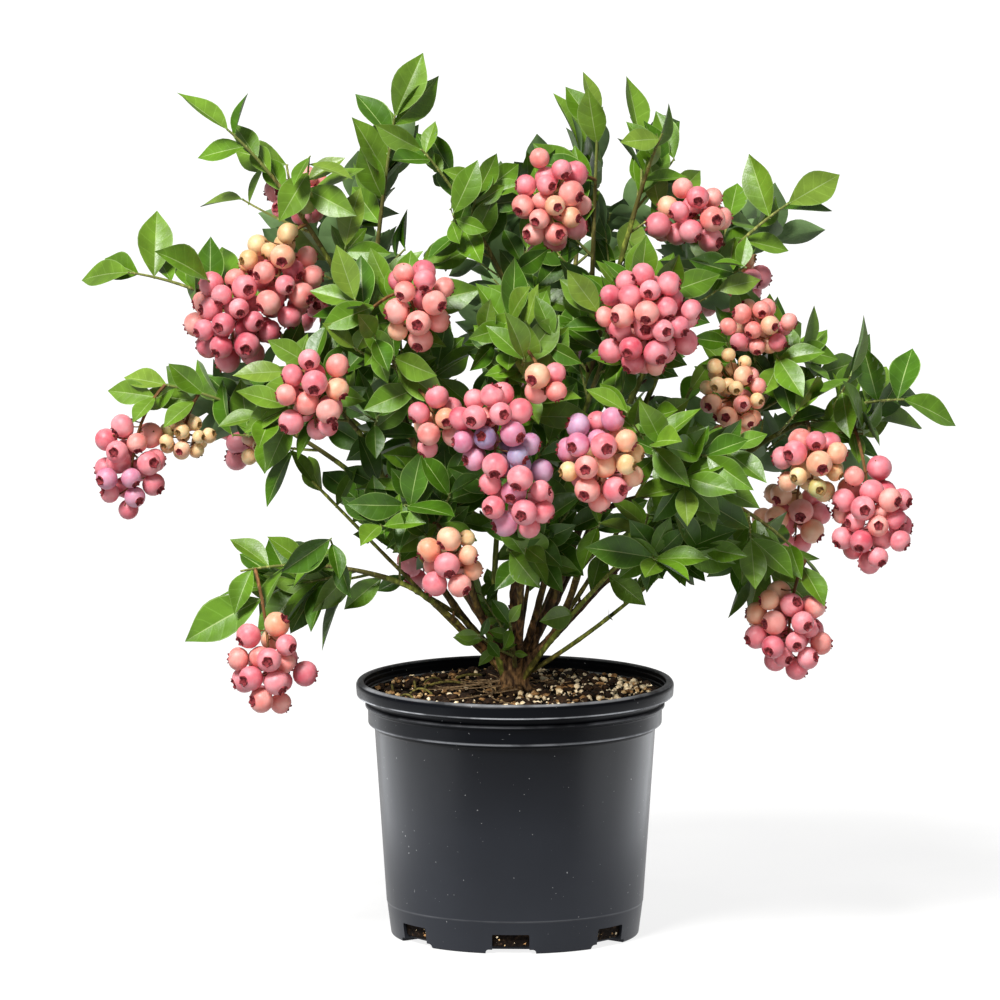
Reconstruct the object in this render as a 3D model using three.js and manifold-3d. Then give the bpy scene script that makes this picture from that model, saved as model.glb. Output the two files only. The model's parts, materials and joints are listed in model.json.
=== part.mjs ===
// A highbush blueberry in fruit, growing in a round nursery pot.
// Units are millimetres and +Z is up. The front of the plant faces -Y, and its right side is +X.
// The origin is the middle of the pot's flat underside.
//
// Canes rise from a short woody crown. Each cane or side bough carries one mass of leaves and fruit.
// A mass grows by one seeded rule from a single stem: side shoots set round the stem by the golden
// angle, leaves set round each shoot in the same way, and hanging clusters of berries.

import * as THREE from "three";
import { mergeVertices } from "three/addons/utils/BufferGeometryUtils.js";
import Module from "manifold-3d";

const wasm = await Module();
wasm.setup();

const UP = new THREE.Vector3(0, 0, 1);
const GOLDEN_ANGLE = THREE.MathUtils.degToRad(137.5);
const FULL_TURN = 2 * Math.PI;
const JOINT_GAP = 0.3;
const MERGE = 1e-3;
const SMALLEST_EDGE = 0.02;

// ---------------------------------------------------------------- driving dimensions

const pot = {
  height: 193,
  lipRadius: 120,
  lipDepth: 11,
  mouthRadius: 114,
  collarRadius: 111,
  collarFoot: 161,
  bodyTopRadius: 106,
  footRadius: 95,
  footEdge: 1.5,
  wall: 3,
  floor: 5,
  sides: 32,
};
// Each slot is open at the pot's foot, where a wider notch lets the water out.
const slots = { count: 7, width: 28, top: 15, depth: 16, firstAngle: -92 };
const notch = { width: 38, height: 3.2, depth: 46 };
const soil = { edge: 183, middle: 185.5, flat: 30, relief: 1.3 };

const crown = {
  foot: soil.middle + JOINT_GAP,
  flareRadius: 19,
  waistRadius: 14,
  headRadius: 20,
  headStretch: 1.4,
  headHeight: 203,
  headRise: 17,
  top: 220,
  lobes: 5,
  sides: 15,
};

const CANE_ROOT = 0.7;
const LIMB_SIDES = 5;
const LIMB_STEP_LENGTH = 60;
const LIMB_SAMPLES = 40;
const LIMB_TIP_RADIUS = 2.2;
const LIMB_TAPER = 0.8;
const LIMB_PULL = [0.32, 0.34];
const FORK_FOLLOW = 0.45;
const STEM_RADIUS = 2.4;
const STEM_TIP_RADIUS = 1.8;
const STEM_ARCH = 0.12;
const SHOOT_RADIUS = 1;
const SHOOT_LENGTH = 64;
const SHOOT_SPREAD = THREE.MathUtils.degToRad(58);
const SHOOT_LIFT = 0.3;
const SHOOTS_ON_STEM = 4;
const SHOOT_ZONE = { start: 0.04, length: 0.56, openLength: 0.34 };
const SHOOT_SHRINK = 0.7;
const SHOOT_BEND = 0.12;
const LEAVES_ON_STEM = 3;
const LEAVES_ON_SHOOT = 2;

const LEAF_LENGTH = 66;
const END_LEAF = 0.72;
const LEAF_WIDTH = 0.54;
const LEAF_WAIST = 0.45;
const LEAF_ZONE = 0.62;
const LEAF_ROLL = THREE.MathUtils.degToRad(65);
const LEAF_FOLD = 0.05;
const LEAF_KEEL = 0.025;
const LEAF_SINK = 0.2;
const LEAF_ROOM = 15;
const TRIES = 6;
const SHORTEN = 0.93;

const BERRY_RADIUS = 11;
const BERRIES_IN_CLUSTER = 4;
const BERRIES_IN_SMALL_CLUSTER = 3;
const CLUSTER_SEED_STEP = 0.37;
const CLUSTER_SHOOT = 50;
const SMALL_CLUSTER = 30;
const STALK_ROOT_RADIUS = 0.9;
const STALK_RADIUS = 2;
const PEDICEL_RADIUS = 0.8;

const MASS_GAP = 3;
const CLUSTER_SPACE = 0.7;
const LIMB_ROOM = 1.5;
const POT_ROOM = 4;

// Each bough starts on the woody crown, at an azimuth and elevation in degrees, or part way along
// another bough. It ends at the foot of the mass it carries, which reaches from foot to tip.
const boughs = [
  { name: "top_left", from: [200, 62], thick: 4.6, foot: [-145, -25, 525], tip: [-215, -35, 615] },
  { name: "left_high", from: ["top_left", 0.6], thick: 3, foot: [-190, -10, 465], tip: [-290, -10, 504] },
  { name: "top_centre_left", from: [150, 55], thick: 4.1, foot: [-105, 25, 505], tip: [-90, 10, 620] },
  { name: "top_centre", from: [262, 62], thick: 3.9, foot: [-10, 0, 500], tip: [-70, -20, 598] },
  { name: "top_right", from: [32, 57], thick: 3.9, foot: [58, 10, 500], tip: [62, 0, 618] },
  { name: "right_high", from: [344, 62], thick: 4.8, foot: [131, 0, 482], tip: [205, -10, 556] },
  { name: "top_back", from: ["back_top", 0.6], thick: 2.9, foot: [5, 62, 490], tip: [-15, 85, 538] },
  { name: "back_top", from: [88, 58], thick: 4.1, foot: [45, 120, 480], tip: [55, 150, 570] },
  { name: "right_far", from: [8, 44], thick: 4.4, foot: [206, -10, 386], tip: [292, -12, 408] },
  { name: "right_mid", from: ["right_far", 0.66], thick: 2.8, foot: [176, 5, 385], tip: [214, -5, 440] },
  { name: "right_low", from: ["right_far", 0.42], thick: 2.9, foot: [157, -50, 337], tip: [217, -70, 295] },
  { name: "right_front", from: [326, 38], thick: 4.1, foot: [93, -110, 370], tip: [142, -150, 385] },
  {
    name: "right_front_low",
    from: ["right_front", 0.45],
    thick: 2.6,
    foot: [78, -95, 312],
    tip: [125, -120, 308],
  },
  { name: "front_right_high", from: [304, 58], thick: 3.6, foot: [58, -70, 425], tip: [92, -105, 505] },
  { name: "front_centre", from: [275, 30], thick: 3.9, foot: [0, -105, 410], tip: [-4, -155, 488] },
  {
    name: "front_low_right",
    from: ["front_centre", 0.4],
    thick: 2.6,
    foot: [18, -75, 285],
    tip: [10, -115, 325],
  },
  { name: "front_left", from: [236, 42], thick: 4.1, foot: [-78, -90, 420], tip: [-119, -120, 498] },
  {
    name: "front_low_left",
    from: ["front_left", 0.4],
    thick: 2.6,
    foot: [-45, -75, 306],
    tip: [-82, -112, 343],
  },
  { name: "left_arm", from: [174, 44], thick: 3.9, foot: [-135, -20, 363], tip: [-262, -25, 421] },
  { name: "left_mid", from: ["left_arm", 0.62], thick: 2.8, foot: [-118, -62, 392], tip: [-170, -88, 440] },
  { name: "low_left", from: [212, 36], thick: 3, foot: [-97, -50, 279], tip: [-205, -78, 288] },
  { name: "back_left_high", from: [126, 42], thick: 4.2, foot: [-110, 110, 440], tip: [-155, 155, 515] },
  {
    name: "back_left_low",
    from: ["back_left_high", 0.45],
    thick: 2.9,
    foot: [-150, 105, 392],
    tip: [-225, 140, 402],
  },
  { name: "back_right_high", from: [54, 42], thick: 4.2, foot: [125, 110, 450], tip: [165, 150, 520] },
  {
    name: "back_right_low",
    from: ["back_right_high", 0.45],
    thick: 2.9,
    foot: [160, 100, 335],
    tip: [235, 135, 345],
  },
  { name: "back_centre", from: [95, 26], thick: 3.9, foot: [20, 160, 400], tip: [15, 220, 460] },
  { name: "back_low", from: ["back_centre", 0.5], thick: 2.6, foot: [-35, 150, 300], tip: [-70, 205, 310] },
  { name: "base_sprig", from: null, foot: [0, -26, 207], tip: [-4, -56, 246], shoots: 2 },
  { name: "top_right_outer", from: ["top_right", 0.72], thick: 2.6, foot: [88, 5, 542], tip: [110, -5, 608] },
];

// Masses at the rim of the bush, whose stems run on bare of side shoots.
const openMasses = new Set([
  "top_left",
  "left_high",
  "top_centre_left",
  "top_right",
  "right_high",
  "right_far",
  "left_arm",
  "low_left",
  "right_low",
  "back_left_low",
  "back_right_low",
  "top_right_outer",
]);

// Hanging clusters of berries: the bough whose mass bears it, its middle, half width and half height.
const clusters = [
  { bough: "top_left", middle: [-160, 0, 560], wide: 28, tall: 22 },
  { bough: "top_left", middle: [-177, -45, 508], wide: 33, tall: 40 },
  { bough: "left_high", middle: [-211, -50, 474], wide: 34, tall: 38 },
  { bough: "left_mid", middle: [-148, -130, 426], wide: 27, tall: 39 },
  { bough: "front_left", middle: [-74, -140, 498], wide: 27, tall: 34 },
  { bough: "front_left", middle: [-58, -160, 412], wide: 22, tall: 28 },
  { bough: "top_right", middle: [27, -60, 565], wide: 31, tall: 39 },
  { bough: "top_back", middle: [-21, 60, 551], wide: 22, tall: 22 },
  { bough: "right_high", middle: [131, -15, 545], wide: 31, tall: 28 },
  { bough: "front_right_high", middle: [98, -140, 485], wide: 40, tall: 41 },
  { bough: "right_mid", middle: [181, -20, 464], wide: 28, tall: 21 },
  { bough: "right_mid", middle: [162, -55, 417], wide: 25, tall: 37 },
  { bough: "right_far", middle: [222, -60, 365], wide: 30, tall: 30 },
  { bough: "right_far", middle: [270, -60, 330], wide: 30, tall: 47 },
  { bough: "right_low", middle: [204, -80, 244], wide: 33, tall: 38 },
  { bough: "front_centre", middle: [-15, -190, 408], wide: 34, tall: 36 },
  { bough: "front_centre", middle: [4, -190, 364], wide: 27, tall: 36 },
  { bough: "front_centre", middle: [22, -185, 445], wide: 20, tall: 18 },
  { bough: "right_front", middle: [62, -180, 387], wide: 34, tall: 38 },
  { bough: "front_low_left", middle: [-48, -130, 304], wide: 24, tall: 34 },
  { bough: "left_arm", middle: [-286, -30, 360], wide: 30, tall: 40 },
  { bough: "left_arm", middle: [-249, -20, 381], wide: 25, tall: 18 },
  { bough: "left_arm", middle: [-192, -15, 373], wide: 14, tall: 25 },
  { bough: "low_left", middle: [-183, -90, 219], wide: 30, tall: 37 },
  { bough: "back_top", middle: [20, 165, 520], wide: 28, tall: 32 },
  { bough: "back_left_high", middle: [-150, 180, 465], wide: 30, tall: 36 },
  { bough: "back_left_low", middle: [-205, 150, 352], wide: 28, tall: 34 },
  { bough: "back_right_high", middle: [165, 175, 470], wide: 30, tall: 34 },
  { bough: "back_right_low", middle: [215, 145, 300], wide: 28, tall: 34 },
  { bough: "back_centre", middle: [30, 225, 400], wide: 32, tall: 38 },
  { bough: "back_low", middle: [-70, 205, 262], wide: 26, tall: 32 },
];

// ---------------------------------------------------------------- materials

function finish(colour, roughness) {
  return new THREE.MeshStandardMaterial({ color: colour, roughness, metalness: 0 });
}

const finishes = {
  pot: finish(0x26282b, 0.45),
  soil: finish(0x3a2b20, 0.95),
  wood: finish(0x6b5340, 0.8),
  mass: finish(0x5f8f3a, 0.6),
};

// ---------------------------------------------------------------- solids

// A closed geometry as a solid, with its shared corners merged and its faces pointing out.
function solid(geometry) {
  const bare = new THREE.BufferGeometry().setAttribute("position", geometry.getAttribute("position"));
  bare.setIndex(geometry.index);
  const merged = mergeVertices(bare, MERGE);
  const corners = merged.index.array;
  const faces = [];
  for (let i = 0; i < corners.length; i += 3) {
    const [a, b, c] = [corners[i], corners[i + 1], corners[i + 2]];
    if (a !== b && b !== c && c !== a) faces.push(a, b, c);
  }
  const points = merged.getAttribute("position").array;
  if (signedVolume(points, faces) < 0) faces.reverse();
  return new wasm.Manifold(
    new wasm.Mesh({ numProp: 3, vertProperties: points, triVerts: Uint32Array.from(faces) }),
  );
}

function signedVolume(points, faces) {
  const [a, b, c] = [new THREE.Vector3(), new THREE.Vector3(), new THREE.Vector3()];
  let volume = 0;
  for (let i = 0; i < faces.length; i += 3) {
    a.fromArray(points, 3 * faces[i]);
    b.fromArray(points, 3 * faces[i + 1]);
    c.fromArray(points, 3 * faces[i + 2]);
    volume += a.dot(b.cross(c)) / 6;
  }
  return volume;
}

function meshOf(made, name, material) {
  const { numProp, vertProperties, triVerts } = made.getMesh();
  const points = new Float32Array((3 * vertProperties.length) / numProp);
  for (let i = 0; i < points.length / 3; i++) {
    points.set(vertProperties.subarray(i * numProp, i * numProp + 3), 3 * i);
  }
  const geometry = new THREE.BufferGeometry();
  geometry.setAttribute("position", new THREE.BufferAttribute(points, 3));
  geometry.setIndex(new THREE.BufferAttribute(triVerts, 1));
  geometry.computeVertexNormals();
  const mesh = new THREE.Mesh(geometry, material);
  mesh.name = name;
  return mesh;
}

// The largest of the separate bodies that a cut leaves.
function largest(made) {
  const bodies = made.decompose();
  return bodies.reduce((best, body) => (body.volume() > best.volume() ? body : best));
}

// Joined rings of equal size, closed by a flat cap at each end, or by a point at the far end.
function skin(rings, point = null) {
  const sides = rings[0].length;
  const corners = rings.flat();
  if (point) corners.push(point);
  const faces = [];
  for (let k = 0; k + 1 < rings.length; k++) {
    for (let i = 0; i < sides; i++) {
      const near = k * sides + i;
      const next = k * sides + ((i + 1) % sides);
      faces.push(near, next, next + sides, near, next + sides, near + sides);
    }
  }
  const last = (rings.length - 1) * sides;
  for (let i = 1; i + 1 < sides; i++) faces.push(0, i + 1, i);
  for (let i = 0; point && i < sides; i++) faces.push(last + i, last + ((i + 1) % sides), last + sides);
  for (let i = 1; !point && i + 1 < sides; i++) faces.push(last, last + i, last + i + 1);
  const geometry = new THREE.BufferGeometry().setFromPoints(corners);
  geometry.setIndex(faces);
  return solid(geometry);
}

// Two directions square to a heading, which turn as little as they can along a curve.
function acrossOf(heading, previous) {
  const across = previous.clone().addScaledVector(heading, -previous.dot(heading)).normalize();
  return [across, new THREE.Vector3().crossVectors(heading, across)];
}

// A tapering tube with flat sides along a curve. It ends in a flat face, or in a point.
function taper(curve, steps, sides, radiusAt, pointed = false) {
  let across = sideways(curve.getTangent(0));
  const rings = [];
  for (let k = 0; k <= steps - (pointed ? 1 : 0); k++) {
    const t = k / steps;
    const heading = curve.getTangent(t);
    const [first, second] = acrossOf(heading, across);
    across = first;
    rings.push(ringAt(curve.getPoint(t), first, second, radiusAt(t), sides));
  }
  return skin(rings, pointed ? curve.getPoint(1) : null);
}

function ringAt(middle, first, second, radius, sides) {
  return Array.from({ length: sides }, (_, i) => {
    const turn = (FULL_TURN * i) / sides;
    return middle
      .clone()
      .addScaledVector(first, radius * Math.cos(turn))
      .addScaledVector(second, radius * Math.sin(turn));
  });
}

// A level direction square to a heading, or +X where the heading is upright.
function sideways(heading) {
  const level = new THREE.Vector3().crossVectors(heading, UP);
  return level.length() > 0.05 ? level.normalize() : new THREE.Vector3(1, 0, 0);
}

// A number from 0 to 1 that depends only on its four seeds.
function chance(mass, shoot, leaf, use) {
  const wave = Math.sin(mass * 127.1 + shoot * 311.7 + leaf * 74.7 + use * 269.5) * 43758.5453;
  return wave - Math.floor(wave);
}

// ---------------------------------------------------------------- pot and soil

function latheSolid(profile, sides) {
  const points = profile.map(([radius, height]) => new THREE.Vector2(radius, height));
  return new THREE.LatheGeometry(points, sides).rotateX(Math.PI / 2);
}

// The inner face of the pot's wall, from the floor up to the mouth.
function potInside() {
  return [
    [pot.footRadius - pot.wall, pot.floor],
    [pot.bodyTopRadius - pot.wall, pot.collarFoot - 3],
    [pot.collarRadius - pot.wall, pot.collarFoot + 4],
    [pot.mouthRadius, pot.height],
  ];
}

function makePot() {
  const lipFoot = pot.height - pot.lipDepth;
  const ridge = 2;
  const profile = [
    [0, 0],
    [pot.footRadius - 2, 0],
    [pot.footRadius, pot.footEdge],
    [pot.bodyTopRadius, pot.collarFoot - 3],
    [pot.collarRadius - 1.5, pot.collarFoot],
    [pot.collarRadius, lipFoot - 9],
    [pot.collarRadius + ridge, lipFoot - 7],
    [pot.collarRadius, lipFoot - 5],
    [pot.collarRadius, lipFoot - 1],
    [pot.lipRadius, lipFoot],
    [pot.lipRadius, pot.height - 1.5],
    [pot.lipRadius - 1.5, pot.height],
    ...potInside().reverse(),
    [0, pot.floor],
  ];
  let made = solid(latheSolid(profile, pot.sides));
  for (let i = 0; i < slots.count; i++) {
    const turn = THREE.MathUtils.degToRad(slots.firstAngle) + (FULL_TURN * i) / slots.count;
    const hole = new THREE.BoxGeometry(slots.depth, slots.width, 2 * slots.top);
    hole.translate(pot.footRadius, 0, 0).rotateZ(turn);
    const drain = new THREE.BoxGeometry(notch.depth, notch.width, 2 * notch.height);
    drain.translate(pot.footRadius, 0, 0).rotateZ(turn);
    made = made.subtract(solid(hole)).subtract(solid(drain));
  }
  return made;
}

// The potting mix fills the pot and rises a little towards the woody crown.
function makeSoil() {
  const inside = potInside();
  const [shoulder, mouth] = [inside[2], inside[3]];
  const part = (soil.edge - shoulder[1]) / (mouth[1] - shoulder[1]);
  const edgeRadius = shoulder[0] + part * (mouth[0] - shoulder[0]) - JOINT_GAP;
  const wall = inside.slice(0, 3).map(([radius, height]) => [radius - 2 * JOINT_GAP, height]);
  wall[0][1] += JOINT_GAP;
  const rings = [0.75, 0.5].map((share) => {
    const rise = (soil.middle - soil.edge) * (1 - share);
    return [edgeRadius * share, soil.edge + rise];
  });
  const top = [[edgeRadius, soil.edge], ...rings, [soil.flat, soil.middle], [0, soil.middle]];
  const geometry = latheSolid([[0, pot.floor + JOINT_GAP], ...wall, ...top], pot.sides);
  const place = geometry.getAttribute("position");
  for (let i = 0; i < place.count; i++) {
    const [x, y, z] = [place.getX(i), place.getY(i), place.getZ(i)];
    const reach = Math.hypot(x, y);
    const loose = z > soil.edge && reach > soil.flat + 1 && reach < edgeRadius - 1;
    if (loose) place.setZ(i, z + soil.relief * Math.sin(0.13 * x + 1) * Math.cos(0.11 * y));
  }
  return solid(geometry);
}

// ---------------------------------------------------------------- woody crown and boughs

// The crown's outline: its radius at each height, with root lobes at the foot and knobs at the head.
function makeCrown(grow) {
  const { foot, flareRadius, waistRadius, headRadius, headHeight, headStretch, top } = crown;
  const outline = [
    [foot, flareRadius, 1, 0.16],
    [foot + 5, flareRadius - 3.5, 1, 0.12],
    [foot + 9, waistRadius, 1.1, 0.05],
    [headHeight - 4, headRadius - 2, headStretch, 0.04],
    [headHeight + 4, headRadius, headStretch, 0.05],
    [top - 5, headRadius - 4, headStretch, 0.05],
    [top, headRadius / 2, headStretch, 0.04],
  ];
  const rings = outline.map(([height, radius, stretch, lobe]) => {
    return Array.from({ length: crown.sides }, (_, i) => {
      const turn = (FULL_TURN * i) / crown.sides;
      const reach = radius * (1 + lobe * Math.cos(crown.lobes * turn + 0.6)) + grow;
      const rise = height > foot ? grow : 0;
      return new THREE.Vector3(stretch * reach * Math.cos(turn), reach * Math.sin(turn), height + rise);
    });
  });
  return skin(rings);
}

const vector = ([x, y, z]) => new THREE.Vector3(x, y, z);
const boughNamed = (name) => boughs.find((bough) => bough.name === name);

// The stem of a mass arches up from its foot and over to its tip.
function stemOf(bough) {
  const [foot, tip] = [vector(bough.foot), vector(bough.tip)];
  const bend = foot.clone().lerp(tip, 0.5);
  bend.z += STEM_ARCH * foot.distanceTo(tip);
  const heading = bend.clone().sub(foot).normalize();
  foot.addScaledVector(heading, JOINT_GAP);
  return new THREE.QuadraticBezierCurve3(foot, bend, tip);
}

// The line of a bough, from inside what carries it to the foot of its mass.
function lineOf(bough) {
  if (bough.line) return bough.line;
  const foot = vector(bough.foot);
  const arrival = vector(bough.foot).sub(stemOf(bough).getPoint(0)).normalize();
  const [base, place] = bough.from;
  let start;
  let leaving;
  if (typeof base === "string") {
    const carrier = lineOf(boughNamed(base));
    start = carrier.getPoint(place);
    const straight = foot.clone().sub(start).normalize();
    leaving = carrier.getTangent(place).multiplyScalar(FORK_FOLLOW).add(straight).normalize();
  } else {
    const [azimuth, elevation] = [base, place].map(THREE.MathUtils.degToRad);
    leaving = new THREE.Vector3(
      Math.cos(elevation) * Math.cos(azimuth),
      Math.cos(elevation) * Math.sin(azimuth),
      Math.sin(elevation),
    );
    const { headRadius, headStretch, headRise, headHeight } = crown;
    start = leaving.clone().multiply(new THREE.Vector3(headStretch * headRadius, headRadius, headRise));
    start.multiplyScalar(CANE_ROOT).z += headHeight;
  }
  const length = start.distanceTo(foot);
  const first = start.clone().addScaledVector(leaving, LIMB_PULL[0] * length);
  const second = foot.clone().addScaledVector(arrival, LIMB_PULL[1] * length);
  bough.line = new THREE.CubicBezierCurve3(start, first, second, foot);
  return bough.line;
}

function limbRadius(bough, t) {
  return bough.thick + (LIMB_TIP_RADIUS - bough.thick) * Math.pow(t, LIMB_TAPER);
}

function limbSolid(bough, grow) {
  const line = lineOf(bough);
  const steps = Math.max(3, Math.round(line.getLength() / LIMB_STEP_LENGTH));
  return taper(line, steps, LIMB_SIDES, (t) => limbRadius(bough, t) + grow);
}

// A bough is one tapering limb, cut just clear of what carries it.
function makeBough(bough) {
  return largest(limbSolid(bough, 0).subtract(carrierOf(bough)));
}

function carrierOf(bough) {
  if (typeof bough.from[0] !== "string") return makeCrown(JOINT_GAP);
  return limbSolid(boughNamed(bough.from[0]), JOINT_GAP);
}

// ---------------------------------------------------------------- space for each mass

// A mass's space is nearer to its own stem and clusters than to any other mass's.
function bonesOf(bough) {
  const stem = stemOf(bough).getPoints(4);
  const bones = stem.slice(1).map((end, i) => ({ line: new THREE.Line3(stem[i], end), swell: 0 }));
  for (const cluster of clusters.filter((one) => one.bough === bough.name)) {
    const middle = vector(cluster.middle);
    const swell = CLUSTER_SPACE * Math.min(cluster.wide, cluster.tall);
    bones.push({ line: new THREE.Line3(middle, middle), swell });
  }
  return bones;
}

const bones = new Map(boughs.map((bough) => [bough.name, bonesOf(bough)]));
const limbs = boughs.filter((bough) => bough.from);
const limbPoints = limbs.flatMap((bough) =>
  Array.from({ length: LIMB_SAMPLES + 1 }, (_, k) => ({
    place: lineOf(bough).getPoint(k / LIMB_SAMPLES),
    radius: limbRadius(bough, k / LIMB_SAMPLES),
  })),
);

const nearest = new THREE.Vector3();

function distanceTo(line, point) {
  return line.closestPointToPoint(point, true, nearest).distanceTo(point);
}

function distanceToMass(name, point) {
  return Math.min(...bones.get(name).map(({ line, swell }) => distanceTo(line, point) - swell));
}

// Whether a point is clear of the pot and the soil.
function aboveSoil(point) {
  const reach = Math.hypot(point.x, point.y);
  if (reach < pot.mouthRadius - POT_ROOM) return point.z > soil.middle + POT_ROOM;
  return reach > pot.lipRadius + POT_ROOM || point.z > pot.height + POT_ROOM;
}

function clearOfLimbs(point) {
  return limbPoints.every(({ place, radius }) => place.distanceTo(point) > radius + LIMB_ROOM);
}

function clearOfCrown(point) {
  const reach = Math.hypot(point.x / crown.headStretch, point.y);
  return point.z > crown.top + 2 || reach > crown.headRadius + 3;
}

function inOwnSpace(bough, point) {
  const own = distanceToMass(bough.name, point);
  return boughs.every((other) => other === bough || distanceToMass(other.name, point) > own + MASS_GAP);
}

function clearOfClusters(point) {
  return clusters.every(({ middle, wide, tall }) => {
    const [x, y, z] = middle;
    return Math.hypot((point.x - x) / wide, (point.y - y) / wide, (point.z - z) / tall) > 1;
  });
}

function fits(bough, points) {
  return points.every(
    (point) =>
      aboveSoil(point) && clearOfCrown(point) && inOwnSpace(bough, point) && clearOfLimbs(point),
  );
}

// ---------------------------------------------------------------- leaves, shoots and berries

// A leaf blade folded a little along its midrib: a point sunk in its shoot, widest before the
// middle, with a keel under the midrib, and a pointed tip.
function leafAt(root, heading, face, length) {
  const across = new THREE.Vector3().crossVectors(heading, face).normalize();
  const spot = (along, aside, rise) =>
    root
      .clone()
      .addScaledVector(heading, along)
      .addScaledVector(across, aside)
      .addScaledVector(face, rise);
  const half = (LEAF_WIDTH * length) / 2;
  const waist = LEAF_WAIST * length;
  const fold = LEAF_FOLD * length;
  const keel = -LEAF_KEEL * length;
  return {
    stalk: spot(-LEAF_SINK, 0, 0),
    waist: [spot(waist, half, fold), spot(waist, -half, fold), spot(waist, 0, keel)],
    point: spot(length, 0, 0),
  };
}

function leafSolid({ stalk, waist, point }) {
  const geometry = new THREE.BufferGeometry().setFromPoints([stalk, ...waist, point]);
  geometry.setIndex([0, 2, 1, 0, 3, 2, 0, 1, 3, 4, 1, 2, 4, 2, 3, 4, 3, 1]);
  return solid(geometry);
}

const middleOf = ({ waist }) => waist[0].clone().lerp(waist[1], 0.5);

// Points over a leaf close enough together that no limb slips between them.
function leafSamples({ stalk, waist, point }) {
  const samples = [point];
  for (const corner of waist) {
    for (const share of [0.25, 0.4, 0.55, 0.7, 0.85, 1]) samples.push(stalk.clone().lerp(corner, share));
    for (const share of [0.2, 0.4, 0.6, 0.8]) samples.push(corner.clone().lerp(point, share));
  }
  for (const share of [0.33, 0.66]) {
    samples.push(waist[0].clone().lerp(waist[2], share), waist[1].clone().lerp(waist[2], share));
  }
  return samples;
}

// A heading turned away from a curve's own, by a lean and by a turn round the curve.
function slanted(heading, lean, turn) {
  const first = sideways(heading);
  const second = new THREE.Vector3().crossVectors(heading, first);
  return heading
    .clone()
    .multiplyScalar(Math.cos(lean))
    .addScaledVector(first, Math.sin(lean) * Math.cos(turn))
    .addScaledVector(second, Math.sin(lean) * Math.sin(turn));
}

// The first of a few tries that is allowed, each turned on and shorter than the last, or null.
function firstThatFits(make, allowed) {
  for (let attempt = 0; attempt < TRIES; attempt++) {
    const made = make(attempt * GOLDEN_ANGLE, Math.pow(SHORTEN, attempt));
    if (allowed(made)) return made;
  }
  return null;
}

// Leaves are set round a shoot from its tip down, each turned by the golden angle from the last.
function leavesOn(bough, seed, shoot, index, count, earlier) {
  const leaves = [];
  const allowed = (leaf) => {
    const middle = middleOf(leaf);
    const apart = [...earlier, ...leaves].every((other) => middleOf(other).distanceTo(middle) > LEAF_ROOM);
    const samples = leafSamples(leaf);
    return apart && samples.every(clearOfClusters) && fits(bough, samples);
  };
  for (let j = 0; j < count; j++) {
    const t = j === 0 ? 0.99 : 1 - (LEAF_ZONE * j) / (count - 0.5);
    const heading = shoot.getTangent(t);
    const turn = j * GOLDEN_ANGLE + FULL_TURN * chance(seed, index, 0, 3);
    const lean = j === 0 ? 0.2 : 0.75 + 0.3 * chance(seed, index, j, 4);
    const length = LEAF_LENGTH * (j === 0 ? END_LEAF : 1) * (0.8 + 0.32 * chance(seed, index, j, 5));
    const roll = LEAF_ROLL * (2 * chance(seed, index, j, 8) - 1);
    const leaf = firstThatFits((turned, share) => {
      const way = slanted(heading, lean, turn + turned).normalize();
      const face = UP.clone().addScaledVector(way, -way.z);
      if (face.length() < 0.3) face.addScaledVector(sideways(heading), 0.8);
      face.addScaledVector(way, -face.dot(way)).normalize().applyAxisAngle(way, roll);
      return leafAt(shoot.getPoint(t), way, face, share * length);
    }, allowed);
    if (leaf) leaves.push(leaf);
  }
  return leaves;
}

// A side shoot leaves the stem at a slant and bends upwards.
function shootOn(bough, seed, stem, index, count) {
  const zone = openMasses.has(bough.name) ? SHOOT_ZONE.openLength : SHOOT_ZONE.length;
  const t = SHOOT_ZONE.start + (zone * (index - 0.5)) / count;
  const base = stem.getPoint(t);
  const turn = index * GOLDEN_ANGLE + FULL_TURN * chance(seed, 0, 0, 1);
  const fullLength = SHOOT_LENGTH * (1 - SHOOT_SHRINK * t) * (0.75 + 0.5 * chance(seed, index, 0, 2));
  const allowed = (shoot) => fits(bough, shoot.getPoints(8).slice(1));
  return firstThatFits((turned, share) => {
    const way = slanted(stem.getTangent(t), SHOOT_SPREAD, turn + turned);
    way.z += SHOOT_LIFT;
    way.normalize();
    const length = share * fullLength;
    const elbow = base.clone().addScaledVector(way, 0.5 * length);
    const end = base.clone().addScaledVector(way, length);
    end.z += SHOOT_BEND * length;
    return new THREE.QuadraticBezierCurve3(base, elbow, end);
  }, allowed);
}

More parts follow.
